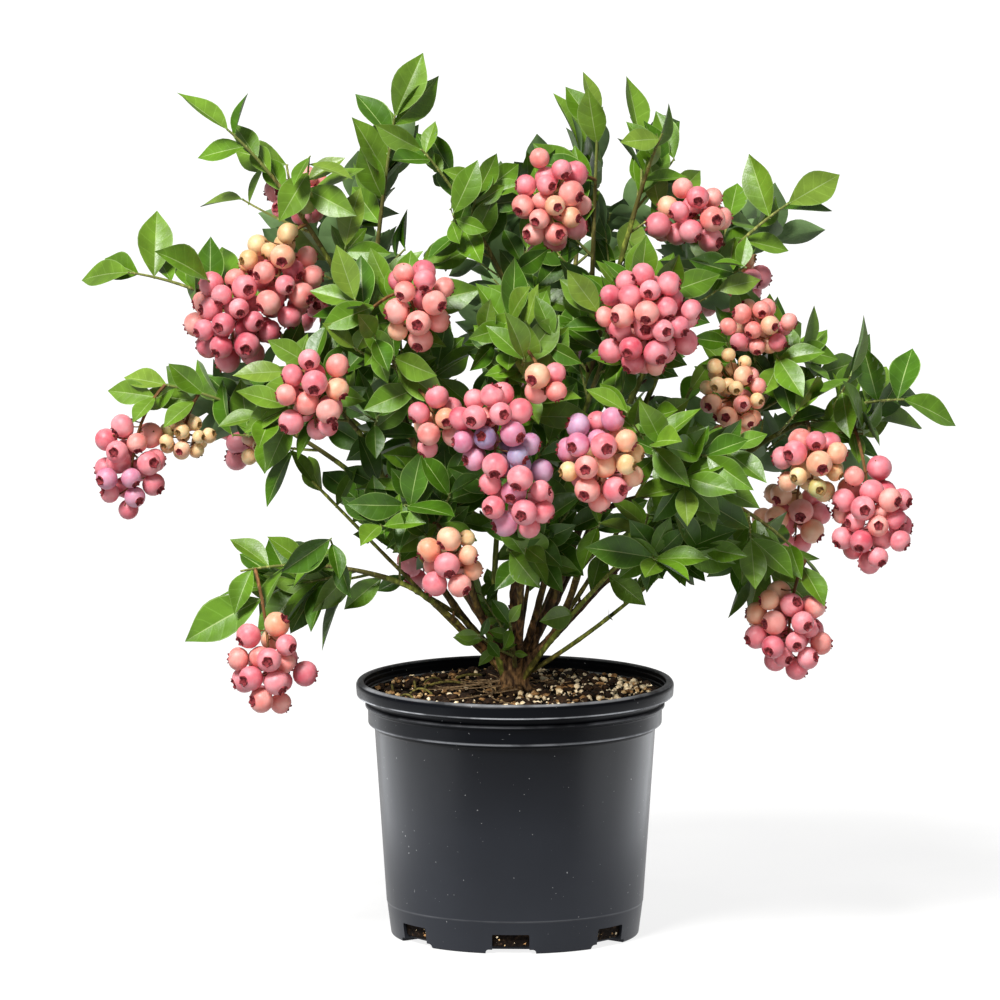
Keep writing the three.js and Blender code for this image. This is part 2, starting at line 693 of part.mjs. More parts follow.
// A cluster hangs from the nearest point of its stem: a stalk that runs down through the cluster's
// middle, and berries set round it by the golden angle, each on its own short pedicel.
function clusterSolids(bough, seed, cluster) {
  const middle = vector(cluster.middle);
  const nearby = stemOf(bough)
    .getPoints(20)
    .slice(3)
    .reduce((best, point) => (point.distanceTo(middle) < best.distanceTo(middle) ? point : best));
  const across = cluster.wide - BERRY_RADIUS;
  const down = Math.max(cluster.tall - BERRY_RADIUS, 8);
  const [top, bottom] = [middle.clone(), middle.clone()];
  top.z += 0.8 * down;
  bottom.z -= 0.6 * down;
  const stalk = new THREE.QuadraticBezierCurve3(nearby, top, bottom);
  const made = [taper(stalk, 3, 3, (t) => (t > 0 ? STALK_RADIUS : STALK_ROOT_RADIUS))];
  const count = cluster.wide < SMALL_CLUSTER ? BERRIES_IN_SMALL_CLUSTER : BERRIES_IN_CLUSTER;
  for (let j = 0; j < count; j++) {
    const level = 1 - (2 * (j + 0.5)) / count;
    const turn = j * GOLDEN_ANGLE + FULL_TURN * chance(seed, CLUSTER_SHOOT, 0, 6);
    const flat = across * Math.sqrt(1 - 0.7 * level * level);
    const aside = new THREE.Vector3(flat * Math.cos(turn), flat * Math.sin(turn), down * level);
    const place = middle.clone().add(aside);
    const radius = BERRY_RADIUS * (0.92 + 0.16 * chance(seed, CLUSTER_SHOOT, j, 7));
    const berry = new THREE.IcosahedronGeometry(radius, 0).translate(place.x, place.y, place.z);
    const root = stalk.getPoint(0.55 + (0.4 * (j + 0.5)) / count);
    const pedicel = new THREE.LineCurve3(root, place);
    made.push(solid(berry), taper(pedicel, 1, 3, () => PEDICEL_RADIUS, true));
  }
  return made;
}

function makeMass(bough, seed) {
  const stem = stemOf(bough);
  const made = [taper(stem, 4, 3, (t) => STEM_RADIUS + (STEM_TIP_RADIUS - STEM_RADIUS) * t)];
  const leaves = leavesOn(bough, seed, stem, 0, LEAVES_ON_STEM, []);
  const count = bough.shoots ?? SHOOTS_ON_STEM;
  for (let index = 1; index <= count; index++) {
    const shoot = shootOn(bough, seed, stem, index, count);
    if (!shoot) continue;
    const more = leavesOn(bough, seed, shoot, index, LEAVES_ON_SHOOT, leaves);
    if (more.length === 0) continue;
    made.push(taper(shoot, 1, 3, () => SHOOT_RADIUS));
    leaves.push(...more);
  }
  made.push(...leaves.map(leafSolid));
  const own = clusters.filter((cluster) => cluster.bough === bough.name);
  own.forEach((cluster, k) => made.push(...clusterSolids(bough, seed + CLUSTER_SEED_STEP * k, cluster)));
  return largest(wasm.Manifold.union(made).simplify(SMALLEST_EDGE));
}

// ---------------------------------------------------------------- the plant

const plant = new THREE.Group();
plant.add(meshOf(makePot(), "pot", finishes.pot));
plant.add(meshOf(makeSoil(), "potting_mix", finishes.soil));
plant.add(meshOf(makeCrown(0), "woody_crown", finishes.wood));
for (const bough of limbs) plant.add(meshOf(makeBough(bough), "bough_" + bough.name, finishes.wood));
boughs.forEach((bough, seed) => {
  plant.add(meshOf(makeMass(bough, seed + 1), "mass_" + bough.name, finishes.mass));
});

export default plant;
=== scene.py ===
# A highbush blueberry in fruit, in a round nursery pot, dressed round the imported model.
# Sizes are in millimetres, +Z is up, the front is -Y, and they become metres when a mesh is made.
#
# Canes rise from a woody crown. Each ends in a mass of leaves and fruit, which grows by the same
# seeded rule as the solids: a stem, shoots set round it by the golden angle, and leaves set round
# each shoot. Here the rule goes on to finer twigs, and the leaves and berries have their real size.

import json
import math

import bmesh
import bpy
import numpy as np
from mathutils import Matrix, Vector, noise

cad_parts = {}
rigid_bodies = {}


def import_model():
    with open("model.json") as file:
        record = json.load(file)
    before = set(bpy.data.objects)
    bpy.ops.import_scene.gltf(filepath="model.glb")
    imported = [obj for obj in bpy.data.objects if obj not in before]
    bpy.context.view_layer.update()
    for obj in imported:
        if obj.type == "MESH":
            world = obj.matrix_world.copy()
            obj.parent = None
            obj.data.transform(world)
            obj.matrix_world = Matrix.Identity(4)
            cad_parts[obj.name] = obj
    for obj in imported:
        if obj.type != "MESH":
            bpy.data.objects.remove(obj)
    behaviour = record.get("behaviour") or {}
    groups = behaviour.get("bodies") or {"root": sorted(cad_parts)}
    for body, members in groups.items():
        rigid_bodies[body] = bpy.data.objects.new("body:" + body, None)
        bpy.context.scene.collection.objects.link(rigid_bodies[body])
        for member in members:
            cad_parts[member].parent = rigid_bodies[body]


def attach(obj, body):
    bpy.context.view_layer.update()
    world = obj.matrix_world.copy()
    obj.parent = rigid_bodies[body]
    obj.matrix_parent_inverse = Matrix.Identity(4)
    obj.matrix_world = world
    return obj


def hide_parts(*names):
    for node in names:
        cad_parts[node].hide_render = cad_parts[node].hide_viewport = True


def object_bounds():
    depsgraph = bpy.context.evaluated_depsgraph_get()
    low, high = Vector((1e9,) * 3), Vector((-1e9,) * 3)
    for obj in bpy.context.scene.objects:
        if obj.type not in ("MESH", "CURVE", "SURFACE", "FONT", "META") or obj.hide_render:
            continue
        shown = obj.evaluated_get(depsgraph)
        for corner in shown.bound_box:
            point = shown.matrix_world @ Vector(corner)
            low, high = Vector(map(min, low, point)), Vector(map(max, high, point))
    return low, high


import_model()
cad_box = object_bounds()

MM = 0.001
UP = np.array((0.0, 0.0, 1.0))
FULL_TURN = 2 * math.pi
GOLDEN_ANGLE = math.radians(137.5)
JOINT_GAP = 0.3

# ---------------------------------------------------------------- driving dimensions

POT = dict(height=193, lip_radius=120, lip_depth=11, mouth_radius=114, collar_radius=111,
           collar_foot=161, body_top=106, foot_radius=95, wall=3, floor=5)
SLOTS = dict(count=7, width=28, top=15, depth=16, first=-92, notch=3.2, notch_width=38, notch_depth=46)
SOIL = dict(edge=183, middle=185.5)
CROWN = dict(foot=186, flare=19, head_radius=20, stretch=1.4, head_height=203, rise=17, top=220,
             collar=34, roots=7)

# Limbs: how deep in the crown's head they start, as a share of it, their girth as a share of the
# thickness in BOUGHS, the radius of their tips, and how fast they taper.
CANE_ROOT = 0.7
GIRTH = 0.8
LIMB_TIP = 1.9
LIMB_TAPER = 0.8
LIMB_SAMPLES = 40
# How far a forking bough follows its carrier, and how long a limb keeps its first and last heading.
FORK_DRIFT = 0.45
LINE_START = 0.32
LINE_END = 0.34
# Old buds on the canes: the first one, the steps between them, and between dead stubs.
FIRST_BUD = 18
BUD_STEP = 30
STUB_STEP = 34
# The rings of a cane stand a step apart, with this many sides each.
CANE_STEP = 3
CANE_SIDES = 12
SUCKER_SIDES = 9

STEM_ARCH = 0.12
SHOOT_LENGTH = 64
SHOOT_SPREAD = math.radians(58)
SHOOT_LIFT = 0.3
SHOOT_BEND = 0.12
SHOOT_SHRINK = 0.7
# The shoots of a mass, main and fine, how far along the stem they stand, and the stem's own leaves.
FULL_MASS = dict(main=4, fine=2, zone=0.56, leaves=11)
OPEN_MASS = dict(main=3, fine=0, zone=0.3, leaves=7)
HALF_OPEN_MASS = dict(main=4, fine=1, zone=0.36, leaves=9)
SPRIG = dict(main=2, fine=1, zone=0.56, leaves=6)
TWIG_LENGTH = 34
TWIG_SPREAD = math.radians(50)
# Spurs stand on the upper part of a limb, above a height, a step apart.
SPUR_STEP = 21
SPUR_FOOT = 0.35
SPUR_HEIGHT = 268
SPUR_SPREAD = math.radians(62)
# A shoot or leaf that doesn't fit is tried again, each time turned on and at this share of its size.
TRIES = 6
SHORTEN = 0.93

SHOOT_LEAVES = (7, 7, 6, 5)
FINE_LEAVES = 5
TWIG_LEAVES = 4
SPUR_LEAVES = 4
LEAF_LENGTH = 53
LEAF_WIDTH = 0.49
LEAF_ROOM = 0.27
SPRIG_SCALE = 0.44
# How leaves sit in masses at the rim and in all others: how flat they turn to the light, their
# roll in degrees, the end leaf's lean and size, and the size of the first few leaves and the rest.
AIRY = dict(flatness=0.8, roll=58, lean=0.15, end=0.92, first=1.08, rest=1.08)
DENSE = dict(flatness=0.55, roll=40, lean=0.3, end=0.82, first=1, rest=0.78)
FIRST_LEAVES = 4
# Where leaves look: up by a share, and away from a plane across the bush, more the further off.
OUTLOOK = dict(up=0.5, width=300, depth=55, plane=48)

# The bush as an ellipsoid, and where in it, as shares, the greens step from deep to young.
# The darker greens inside the bush are painted shade; the lighter greens at its rim are younger leaves.
BUSH_MIDDLE = (0, 0, 330)
BUSH_SPANS = (300, 210, 300)
TONE_STEPS = (0.62, 1.16, 1.5)

# Berries: their radius, the share of a cluster that they fill, its depth as a share of its width,
# an unripe berry's size, the steps that settle places and cups, and the room left round a
# cluster's stalk and before a berry's cup.
BERRY_RADIUS = 9.2
SMALL_BERRY = 7.2
PACKING = 0.53
CLUSTER_DEPTH = 0.86
UNRIPE = ("cream", "green")
UNRIPE_SIZE = 0.84
PACK_STEPS = 90
SETTLE_STEPS = 16
CUP_TURNS = 8
STALK_ROOM = 1.2
CUP_ROOM = 0.3

# A mass keeps this far from its neighbours' space with its shoots, and strays into it with leaves.
MASS_GAP = 3
STRAY = 14
CLUSTER_SPACE = 0.7
LIMB_ROOM = 1.5
POT_ROOM = 4
BOX_GROWTH = 4
VIEW_ELEVATION = math.radians(8.5)

# Stretches of sky that stay open in the front view: middle across and up, half width, half height.
SKY = [
    (-76, 561, 11, 16), (-62, 541, 15, 18), (-143, 612, 17, 22), (-175, 609, 12, 22), (-30, 605, 20, 22),
    (-2, 594, 12, 13), (-218, 569, 15, 10), (-213, 533, 13, 10), (-256, 458, 16, 28), (-293, 473, 13, 16),
    (-214, 355, 20, 20), (-143, 311, 21, 11), (-105, 280, 17, 9), (29, 608, 9, 13), (193, 501, 18, 10),
    (291, 370, 17, 9), (117, 250, 17, 12), (150, 257, 13, 10), (241, 270, 10, 9), (150, 567, 10, 10),
    (-230, 265, 10, 9), (113, 646, 25, 16), (139, 597, 13, 19), (64, 661, 20, 10),
    (73, 571, 7, 20), (-150, 593, 28, 12),
]

# A bough: name, where it leaves the crown (azimuth, elevation) or another bough (name, share), its
# thickness, the foot of its mass, and that mass's tip.
BOUGHS = [
    ("top_left", (200, 62), 4.6, (-145, -25, 525), (-215, -35, 615)),
    ("left_high", ("top_left", 0.6), 3, (-190, -10, 465), (-290, -10, 504)),
    ("top_centre_left", (150, 55), 4.1, (-105, 25, 505), (-90, 10, 620)),
    ("top_centre", (262, 62), 3.9, (-10, 0, 500), (-70, -20, 598)),
    ("top_right", (32, 57), 3.9, (58, 10, 500), (62, 0, 618)),
    ("right_high", (344, 62), 4.8, (131, 0, 482), (205, -10, 556)),
    ("top_back", ("back_top", 0.6), 2.9, (5, 62, 490), (-15, 85, 538)),
    ("back_top", (88, 58), 4.1, (45, 120, 480), (55, 150, 570)),
    ("right_far", (8, 44), 4.4, (206, -10, 386), (292, -12, 408)),
    ("right_mid", ("right_far", 0.66), 2.8, (176, 5, 385), (214, -5, 440)),
    ("right_low", ("right_far", 0.42), 2.9, (157, -50, 337), (217, -70, 295)),
    ("right_front", (326, 38), 4.1, (93, -110, 370), (142, -150, 385)),
    ("right_front_low", ("right_front", 0.45), 2.6, (78, -95, 312), (125, -120, 308)),
    ("front_right_high", (304, 58), 3.6, (58, -70, 425), (92, -105, 505)),
    ("front_centre", (275, 30), 3.9, (0, -105, 410), (-4, -155, 488)),
    ("front_low_right", ("front_centre", 0.4), 2.6, (18, -75, 285), (10, -115, 325)),
    ("front_left", (236, 42), 4.1, (-78, -90, 420), (-119, -120, 498)),
    ("front_low_left", ("front_left", 0.4), 2.6, (-45, -75, 306), (-82, -112, 343)),
    ("left_arm", (174, 44), 3.9, (-135, -20, 363), (-262, -25, 421)),
    ("left_mid", ("left_arm", 0.62), 2.8, (-118, -62, 392), (-170, -88, 440)),
    ("low_left", (212, 36), 3, (-97, -50, 279), (-205, -78, 288)),
    ("back_left_high", (126, 42), 4.2, (-110, 110, 440), (-155, 155, 515)),
    ("back_left_low", ("back_left_high", 0.45), 2.9, (-150, 105, 392), (-225, 140, 402)),
    ("back_right_high", (54, 42), 4.2, (125, 110, 450), (165, 150, 520)),
    ("back_right_low", ("back_right_high", 0.45), 2.9, (160, 100, 335), (235, 135, 345)),
    ("back_centre", (95, 26), 3.9, (20, 160, 400), (15, 220, 460)),
    ("back_low", ("back_centre", 0.5), 2.6, (-35, 150, 300), (-70, 205, 310)),
    ("base_sprig", None, 0, (0, -26, 207), (-4, -56, 246)),
    ("top_right_outer", ("top_right", 0.72), 2.6, (88, 5, 542), (110, -5, 608)),
]

# Masses at the rim of the bush, whose stems run on bare of side shoots.
OPEN_MASSES = ("top_left", "left_high", "top_centre_left", "top_right", "right_high", "right_low",
               "low_left", "back_left_low", "back_right_low", "top_right_outer")
HALF_OPEN_MASSES = ("right_far", "left_arm")

# A sucker: the foot, knee and tip of a thin young cane, its radius, its bark's step and its leaves.
SUCKERS = [
    ((-8, -4, 196), (-22, -22, 236), (-10, -44, 352), 3.0, 4, 5),
    ((-10, -2, 198), (-34, -20, 262), (-128, -52, 286), 1.9, 2, 3),
    ((6, -5, 194), (30, -26, 236), (80, -78, 296), 2.4, 3, 4),
    ((12, -2, 200), (62, -14, 232), (120, -44, 290), 2.0, 3, 6),
    ((2, 0, 198), (8, 4, 290), (40, -40, 380), 1.9, 1, 4),
    ((-6, 2, 198), (-34, 8, 280), (-72, 30, 410), 2.2, 1, 4),
    ((-8, -3, 198), (-70, -20, 262), (-152, -50, 352), 1.9, 2, 7),
    ((8, 2, 200), (70, 0, 280), (132, -20, 418), 2.1, 2, 7),
    ((4, 4, 200), (34, 60, 280), (80, 110, 340), 2.1, 2, 5),
    ((-4, 4, 200), (-50, 60, 280), (-110, 96, 320), 2.1, 2, 5),
]

# A cluster of berries: the mass that bears it, its middle, half width and half height, the colours
# of its upper and its lower berries, and their size.
CLUSTERS = [
    ("top_left", (-160, 0, 560), 28, 22, "blush", "blush", BERRY_RADIUS),
    ("top_left", (-177, -45, 508), 33, 40, "cream", "pink", BERRY_RADIUS),
    ("left_high", (-211, -50, 474), 34, 38, "pink", "rosy", BERRY_RADIUS),
    ("left_mid", (-148, -130, 426), 27, 39, "pink", "blush", BERRY_RADIUS),
    ("front_left", (-74, -140, 498), 27, 34, "pink", "blush", BERRY_RADIUS),
    ("front_left", (-58, -160, 412), 22, 28, "pink", "blush", BERRY_RADIUS),
    ("top_right", (27, -60, 565), 31, 39, "pink", "blush", BERRY_RADIUS),
    ("top_back", (-21, 60, 551), 22, 22, "peach", "cream", SMALL_BERRY),
    ("right_high", (131, -15, 545), 31, 28, "blush", "pink", BERRY_RADIUS),
    ("front_right_high", (98, -140, 485), 40, 41, "pink", "pink", BERRY_RADIUS),
    ("right_mid", (181, -20, 464), 28, 21, "peach", "blush", SMALL_BERRY),
    ("right_mid", (162, -55, 417), 25, 37, "cream", "peach", SMALL_BERRY),
    ("right_far", (222, -60, 365), 30, 30, "pink", "cream", BERRY_RADIUS),
    ("right_far", (266, -60, 327), 30, 50, "pink", "pink", BERRY_RADIUS),
    ("right_low", (204, -80, 244), 33, 38, "blush", "pink", BERRY_RADIUS),
    ("front_centre", (-15, -190, 408), 34, 36, "pink", "lilac", BERRY_RADIUS),
    ("front_centre", (4, -190, 364), 27, 36, "lilac", "rosy", BERRY_RADIUS),
    ("front_centre", (22, -185, 445), 20, 18, "blush", "blush", BERRY_RADIUS),
    ("right_front", (62, -180, 387), 34, 38, "lilac", "buff", BERRY_RADIUS),
    ("front_low_left", (-48, -130, 304), 24, 34, "cream", "blush", BERRY_RADIUS),
    ("left_arm", (-288, -30, 362), 28, 42, "pink", "rosy", BERRY_RADIUS),
    ("left_arm", (-249, -20, 381), 25, 18, "cream", "cream", SMALL_BERRY),
    ("left_arm", (-192, -15, 373), 14, 25, "peach", "cream", SMALL_BERRY),
    ("low_left", (-183, -90, 219), 30, 37, "blush", "pink", BERRY_RADIUS),
    ("back_top", (20, 165, 520), 28, 32, "blush", "pink", BERRY_RADIUS),
    ("back_left_high", (-150, 180, 465), 30, 36, "pink", "rosy", BERRY_RADIUS),
    ("back_left_low", (-203, 150, 362), 28, 32, "blush", "pink", BERRY_RADIUS),
    ("back_right_high", (165, 175, 470), 30, 34, "cream", "pink", BERRY_RADIUS),
    ("back_right_low", (215, 145, 300), 28, 34, "peach", "blush", BERRY_RADIUS),
    ("back_centre", (30, 225, 400), 32, 38, "pink", "lilac", BERRY_RADIUS),
    ("back_low", (-70, 205, 262), 26, 32, "blush", "pink", BERRY_RADIUS),
]

# Leaves on the stalks of clusters, where they stand out against the sky: the mass, the azimuth that
# the leaf points to, how steeply it hangs, and its length.
STALK_LEAVES = [
    ("low_left", 184, 0.5, 66), ("low_left", 250, 0.9, 40), ("right_low", 196, 1.6, 60),
    ("right_low", 208, 0.7, 58), ("right_low", 300, 0.7, 40), ("right_far", 330, 0.3, 44),
    ("left_arm", 160, -0.1, 40), ("left_arm", 205, 0.5, 36), ("front_low_left", 200, 0.5, 40),
    ("front_low_left", 330, 0.4, 42), ("left_mid", 215, 0.9, 46), ("left_mid", 250, 0.5, 44),
    ("right_mid", 20, 0.2, 42), ("top_left", 150, 0.3, 40), ("front_left", 200, 0.3, 44),
    ("back_low", 100, 0.5, 44), ("back_centre", 60, 0.3, 46), ("back_right_low", 20, 0.5, 44),
    ("back_left_low", 160, 0.5, 44), ("back_right_high", 100, 0.2, 44),
    ("back_left_high", 100, 0.3, 44),
]

# How often each berry colour comes up in a part of a cluster.
BERRY_MIXES = {
    "pink": {"pink": 5, "deep": 2, "salmon": 2},
    "rosy": {"pink": 3, "deep": 3, "mauve": 1},
    "blush": {"salmon": 4, "pink": 3, "peach": 2},
    "buff": {"salmon": 3, "peach": 3, "cream": 2, "pink": 2},
    "peach": {"peach": 4, "cream": 2, "salmon": 2},
    "cream": {"cream": 4, "green": 1, "peach": 1},
    "lilac": {"lilac": 2, "mauve": 3, "pink": 2, "blue": 1},
}


# ---------------------------------------------------------------- small mathematics


def unit(v):
    return v / np.linalg.norm(v, axis=-1, keepdims=True)


def chance(mass, shoot, leaf, use):
    """A number from 0 to 1 that depends only on its four seeds, the last being what it is for."""
    wave = math.sin(mass * 127.1 + shoot * 311.7 + leaf * 74.7 + use * 269.5) * 43758.5453
    return wave - math.floor(wave)


class Curve:
    """A Bezier curve through space, of any degree."""

    def __init__(self, *controls):
        self.controls = np.array(controls, float)

    def at(self, t):
        t = np.asarray(t, float)[..., None, None]
        points = np.broadcast_to(self.controls, t.shape[:-2] + self.controls.shape)
        while points.shape[-2] > 1:
            points = points[..., :-1, :] * (1 - t) + points[..., 1:, :] * t
        return points[..., 0, :]

    def heading(self, t):
        t = np.asarray(t, float)
        return unit(self.at(np.minimum(t + 1e-3, 1)) - self.at(np.maximum(t - 1e-3, 0)))

    def length(self):
        points = self.at(np.linspace(0, 1, 60))
        return np.linalg.norm(np.diff(points, axis=0), axis=1).sum()


def sideways(heading):
    """A level direction square to a heading, or +X where the heading is upright."""
    level = np.cross(heading, UP)
    size = np.linalg.norm(level)
    return level / size if size > 0.05 else np.array((1.0, 0.0, 0.0))


def slanted(heading, lean, turn):
    """A heading turned away from a curve's own, by a lean and by a turn round the curve."""
    first = sideways(heading)
    second = np.cross(heading, first)
    aside = first * math.cos(turn) + second * math.sin(turn)
    return unit(heading * math.cos(lean) + aside * math.sin(lean))


def turned(v, axis, angle):
    """v turned round an axis that it is square to."""
    return v * math.cos(angle) + np.cross(axis, v) * math.sin(angle)


def wobble(place, scale, seed=0.0):
    """Smooth noise from -1 to 1 at each of many points, scale being its size in millimetres."""
    spots = np.asarray(place, float) / scale + seed
    return np.array([noise.noise(Vector(p)) for p in spots.reshape(-1, 3)])


# ---------------------------------------------------------------- pieces


class Pile:
    """Many small things of one kind, gathered to become one piece."""

    def __init__(self, name, slot, materials):
        self.name = name
        self.slot = slot
        self.materials = materials
        self.points = []
        self.faces = []
        self.finishes = []
        self.size = 0

    def add(self, points, *groups):
        """Adds a mesh: its points, and groups of (faces of equal size, one finish or one for each)."""
        for faces, finish in groups:
            self.faces.append(np.asarray(faces, np.int64) + self.size)
            self.finishes.append(np.broadcast_to(finish, len(faces)))
        self.points.append(np.asarray(points, float))
        self.size += len(points)

    def make(self, replaced=()):
        """The piece itself, and the nodes that it replaces."""
        loops = np.concatenate([part.ravel() for part in self.faces])
        sides = np.concatenate([np.full(len(part), part.shape[1]) for part in self.faces])
        starts = np.concatenate(([0], np.cumsum(sides)[:-1]))
        mesh = bpy.data.meshes.new(self.name)
        mesh.vertices.add(self.size)
        mesh.vertices.foreach_set("co", (np.concatenate(self.points) * MM).ravel())
        mesh.loops.add(len(loops))
        mesh.loops.foreach_set("vertex_index", loops)
        mesh.polygons.add(len(sides))
        mesh.polygons.foreach_set("loop_start", starts)
        mesh.polygons.foreach_set("material_index", np.concatenate(self.finishes))
        mesh.update(calc_edges=True)
        mesh.validate()
        return finished(mesh, self.name, self.slot, self.materials, replaced)


def placed(name, data):
    """An object in the scene that holds a mesh, a lamp or a camera."""
    made = bpy.data.objects.new(name, data)
    bpy.context.scene.collection.objects.link(made)
    return made


def applied(thing):
    """The mesh that an object's modifiers make of it. The object itself is removed."""
    graph = bpy.context.evaluated_depsgraph_get()
    made = bpy.data.meshes.new_from_object(thing.evaluated_get(graph))
    bpy.data.objects.remove(thing)
    return made


def finished(mesh, name, slot, materials, replaced=(), sharp=60):
    """A mesh as a piece of the object, smooth but for its sharp edges."""
    for finish in materials:
        mesh.materials.append(finish)
    mesh.polygons.foreach_set("use_smooth", np.ones(len(mesh.polygons), bool))
    mesh.set_sharp_from_angle(angle=math.radians(sharp))
    piece = placed(name, mesh)
    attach(piece, "root")
    if replaced:
        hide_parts(*replaced)
    return piece


def grid_faces(rows, columns, closed=True):
    """Quads over a grid of points, its columns joined into a ring where closed."""
    near = np.arange(rows - 1)[:, None] * columns + np.arange(columns if closed else columns - 1)
    row = near - near % columns
    beside = row + (near % columns + 1) % columns
    quads = np.stack([near, beside, beside + columns, near + columns], -1)
    return quads.reshape(-1, 4)


def cap_faces(rows, sides, count):
    """Triangles at both ends of a tube of rings, whose end points are the last two of its points."""
    near = np.arange(sides)
    beside = (near + 1) % sides
    last = (rows - 1) * sides
    foot = np.stack([beside, near, np.full(sides, count - 2)], 1)
    tip = np.stack([last + near, last + beside, np.full(sides, count - 1)], 1)
    return foot, tip


def frames(curve, t):
    """Two directions square to a curve at each t, which turn as little as they can along it."""
    headings = curve.heading(t)
    across = sideways(headings[0])
    firsts = []
    for heading in headings:
        across = unit(across - heading * np.dot(across, heading))
        firsts.append(across)
    firsts = np.array(firsts)
    return firsts, np.cross(headings, firsts)


def tube(pile, curve, t, radii, sides, finish=0, relief=None):
    """A closed tube along a curve, with a radius at each t, one finish or one for each stretch, and
    a relief for each ring and side."""
    first, second = frames(curve, t)
    turn = FULL_TURN * np.arange(sides) / sides
    reach = np.broadcast_to(np.asarray(radii, float)[:, None], (len(t), sides))
    if relief is not None:
        reach = reach * (1 + relief)
    ring = first[:, None] * np.cos(turn)[None, :, None] + second[:, None] * np.sin(turn)[None, :, None]
    points = (curve.at(t)[:, None] + ring * reach[..., None]).reshape(-1, 3)
    points = np.vstack([points, curve.at(t[0]), curve.at(t[-1])])
    foot, tip = cap_faces(len(t), sides, len(points))
    finish = np.broadcast_to(finish, len(t) - 1)
    quads = (grid_faces(len(t), sides), np.repeat(finish, sides))
    pile.add(points, quads, (foot, finish[0]), (tip, finish[-1]))


# ---------------------------------------------------------------- materials


def material(name, colour, roughness, specular):
    """A plain surface whose colour, roughness and shine sit on the shader's own sockets."""
    made = bpy.data.materials.new(name)
    made.use_nodes = True
    shader = made.node_tree.nodes["Principled BSDF"]
    shader.inputs["Base Color"].default_value = (*colour, 1)
    shader.inputs["Roughness"].default_value = roughness
    shader.inputs["Specular IOR Level"].default_value = specular
    return made, made.node_tree, shader


def node(tree, kind, output, inputs, **settings):
    """The output of a shader node, after its settings are made and its inputs are linked or set."""
    made = tree.nodes.new("ShaderNode" + kind)
    for name, value in settings.items():
        setattr(made, name, value)
    for name, value in inputs.items():
        if isinstance(value, bpy.types.NodeSocket):
            tree.links.new(value, made.inputs[name])
        else:
            made.inputs[name].default_value = value
    return made.outputs[output]


def noise_node(tree, scale, detail=3.0, stretch=None):
    """Noise in the object's own coordinates, scale being turns in a metre."""
    where = node(tree, "TexCoord", "Object", {})
    if stretch:
        where = node(tree, "Mapping", "Vector", {"Vector": where, "Scale": stretch})
    return node(tree, "TexNoise", "Fac", {"Vector": where, "Scale": scale, "Detail": detail})


def ramp(tree, value, stops):
    """A colour ramp over a value: stops are (place, colour)."""
    made = tree.nodes.new("ShaderNodeValToRGB")
    elements = made.color_ramp.elements
    while len(elements) < len(stops):
        elements.new(0.5)
    for element, (place, colour) in zip(elements, stops):
        element.position = place
        element.color = (*colour, 1)
    tree.links.new(value, made.inputs["Fac"])
    return made.outputs["Color"]


def coloured(tree, shader, value, stops):
    """Lets the colour follow a value through a ramp."""
    tree.links.new(ramp(tree, value, stops), shader.inputs["Base Color"])


def bump(tree, shader, value, strength, depth):
    """Fine relief from a value, its depth in millimetres."""
    normal = node(tree, "Bump", "Normal", {"Strength": strength, "Distance": depth * MM, "Height": value})
    tree.links.new(normal, shader.inputs["Normal"])


def rough_between(tree, shader, value, low, high):
    """Lets the roughness follow a value from low to high."""
    rough = node(tree, "MapRange", "Result", {"To Min": low, "To Max": high, "Value": value})
    tree.links.new(rough, shader.inputs["Roughness"])


def shade(colour, factor):
    return tuple(min(1.0, c * factor) for c in colour)


def grey(value):
    return (value, value, value)


def leaf_material(name, colour, roughness=0.32):
    """A leathery leaf: its colour and gloss wander a little, over a fine grain."""
    made, tree, shader = material(name, colour, roughness, 0.38)
    mottle = noise_node(tree, 55)
    coloured(tree, shader, mottle, [(0.32, shade(colour, 0.74)), (0.68, shade(colour, 1.25))])
    rough_between(tree, shader, mottle, roughness - 0.06, roughness + 0.1)
    bump(tree, shader, noise_node(tree, 700, 3), 0.35, 0.3)
    return made


def berry_material(name, colour):
    """Waxy skin: a soft bloom lies over the colour, thicker in some places."""
    made, tree, shader = material(name, colour, 0.5, 0.62)
    bloom = noise_node(tree, 75)
    pale = tuple(c + 0.2 * (w - c) for c, w in zip(colour, (0.95, 0.85, 0.85)))
    rich = (colour[0] * 0.88, colour[1] * 0.62, colour[2] * 0.66)
    coloured(tree, shader, bloom, [(0.32, rich), (0.66, pale)])
    rough_between(tree, shader, bloom, 0.38, 0.58)
    bump(tree, shader, noise_node(tree, 1400, 2), 0.1, 0.2)
    shader.inputs["Subsurface Weight"].default_value = 0.25
    shader.inputs["Subsurface Radius"].default_value = (1.0, 0.35, 0.25)
    shader.inputs["Subsurface Scale"].default_value = 3 * MM
    return made


def bark_material(name, dark, light, depth):
    """Bark with streaks along the wood, from its cracks to its ridges."""
    made, tree, shader = material(name, light, 0.75, 0.25)
    streaks = noise_node(tree, 300, 6, stretch=(1, 1, 0.4))
    coloured(tree, shader, streaks, [(0.38, dark), (0.52, shade(light, 0.36)), (0.68, light)])
    rough_between(tree, shader, streaks, 0.85, 0.6)
    bump(tree, shader, noise_node(tree, 700, 4, stretch=(1, 1, 0.4)), 0.5, depth)
    return made


def mixed(tree, blend, factor, first, second):
    """Two colours blended by a factor."""
    inputs = {"Factor": factor, "A": first, "B": second}
    return node(tree, "Mix", "Result", inputs, data_type="RGBA", blend_type=blend)


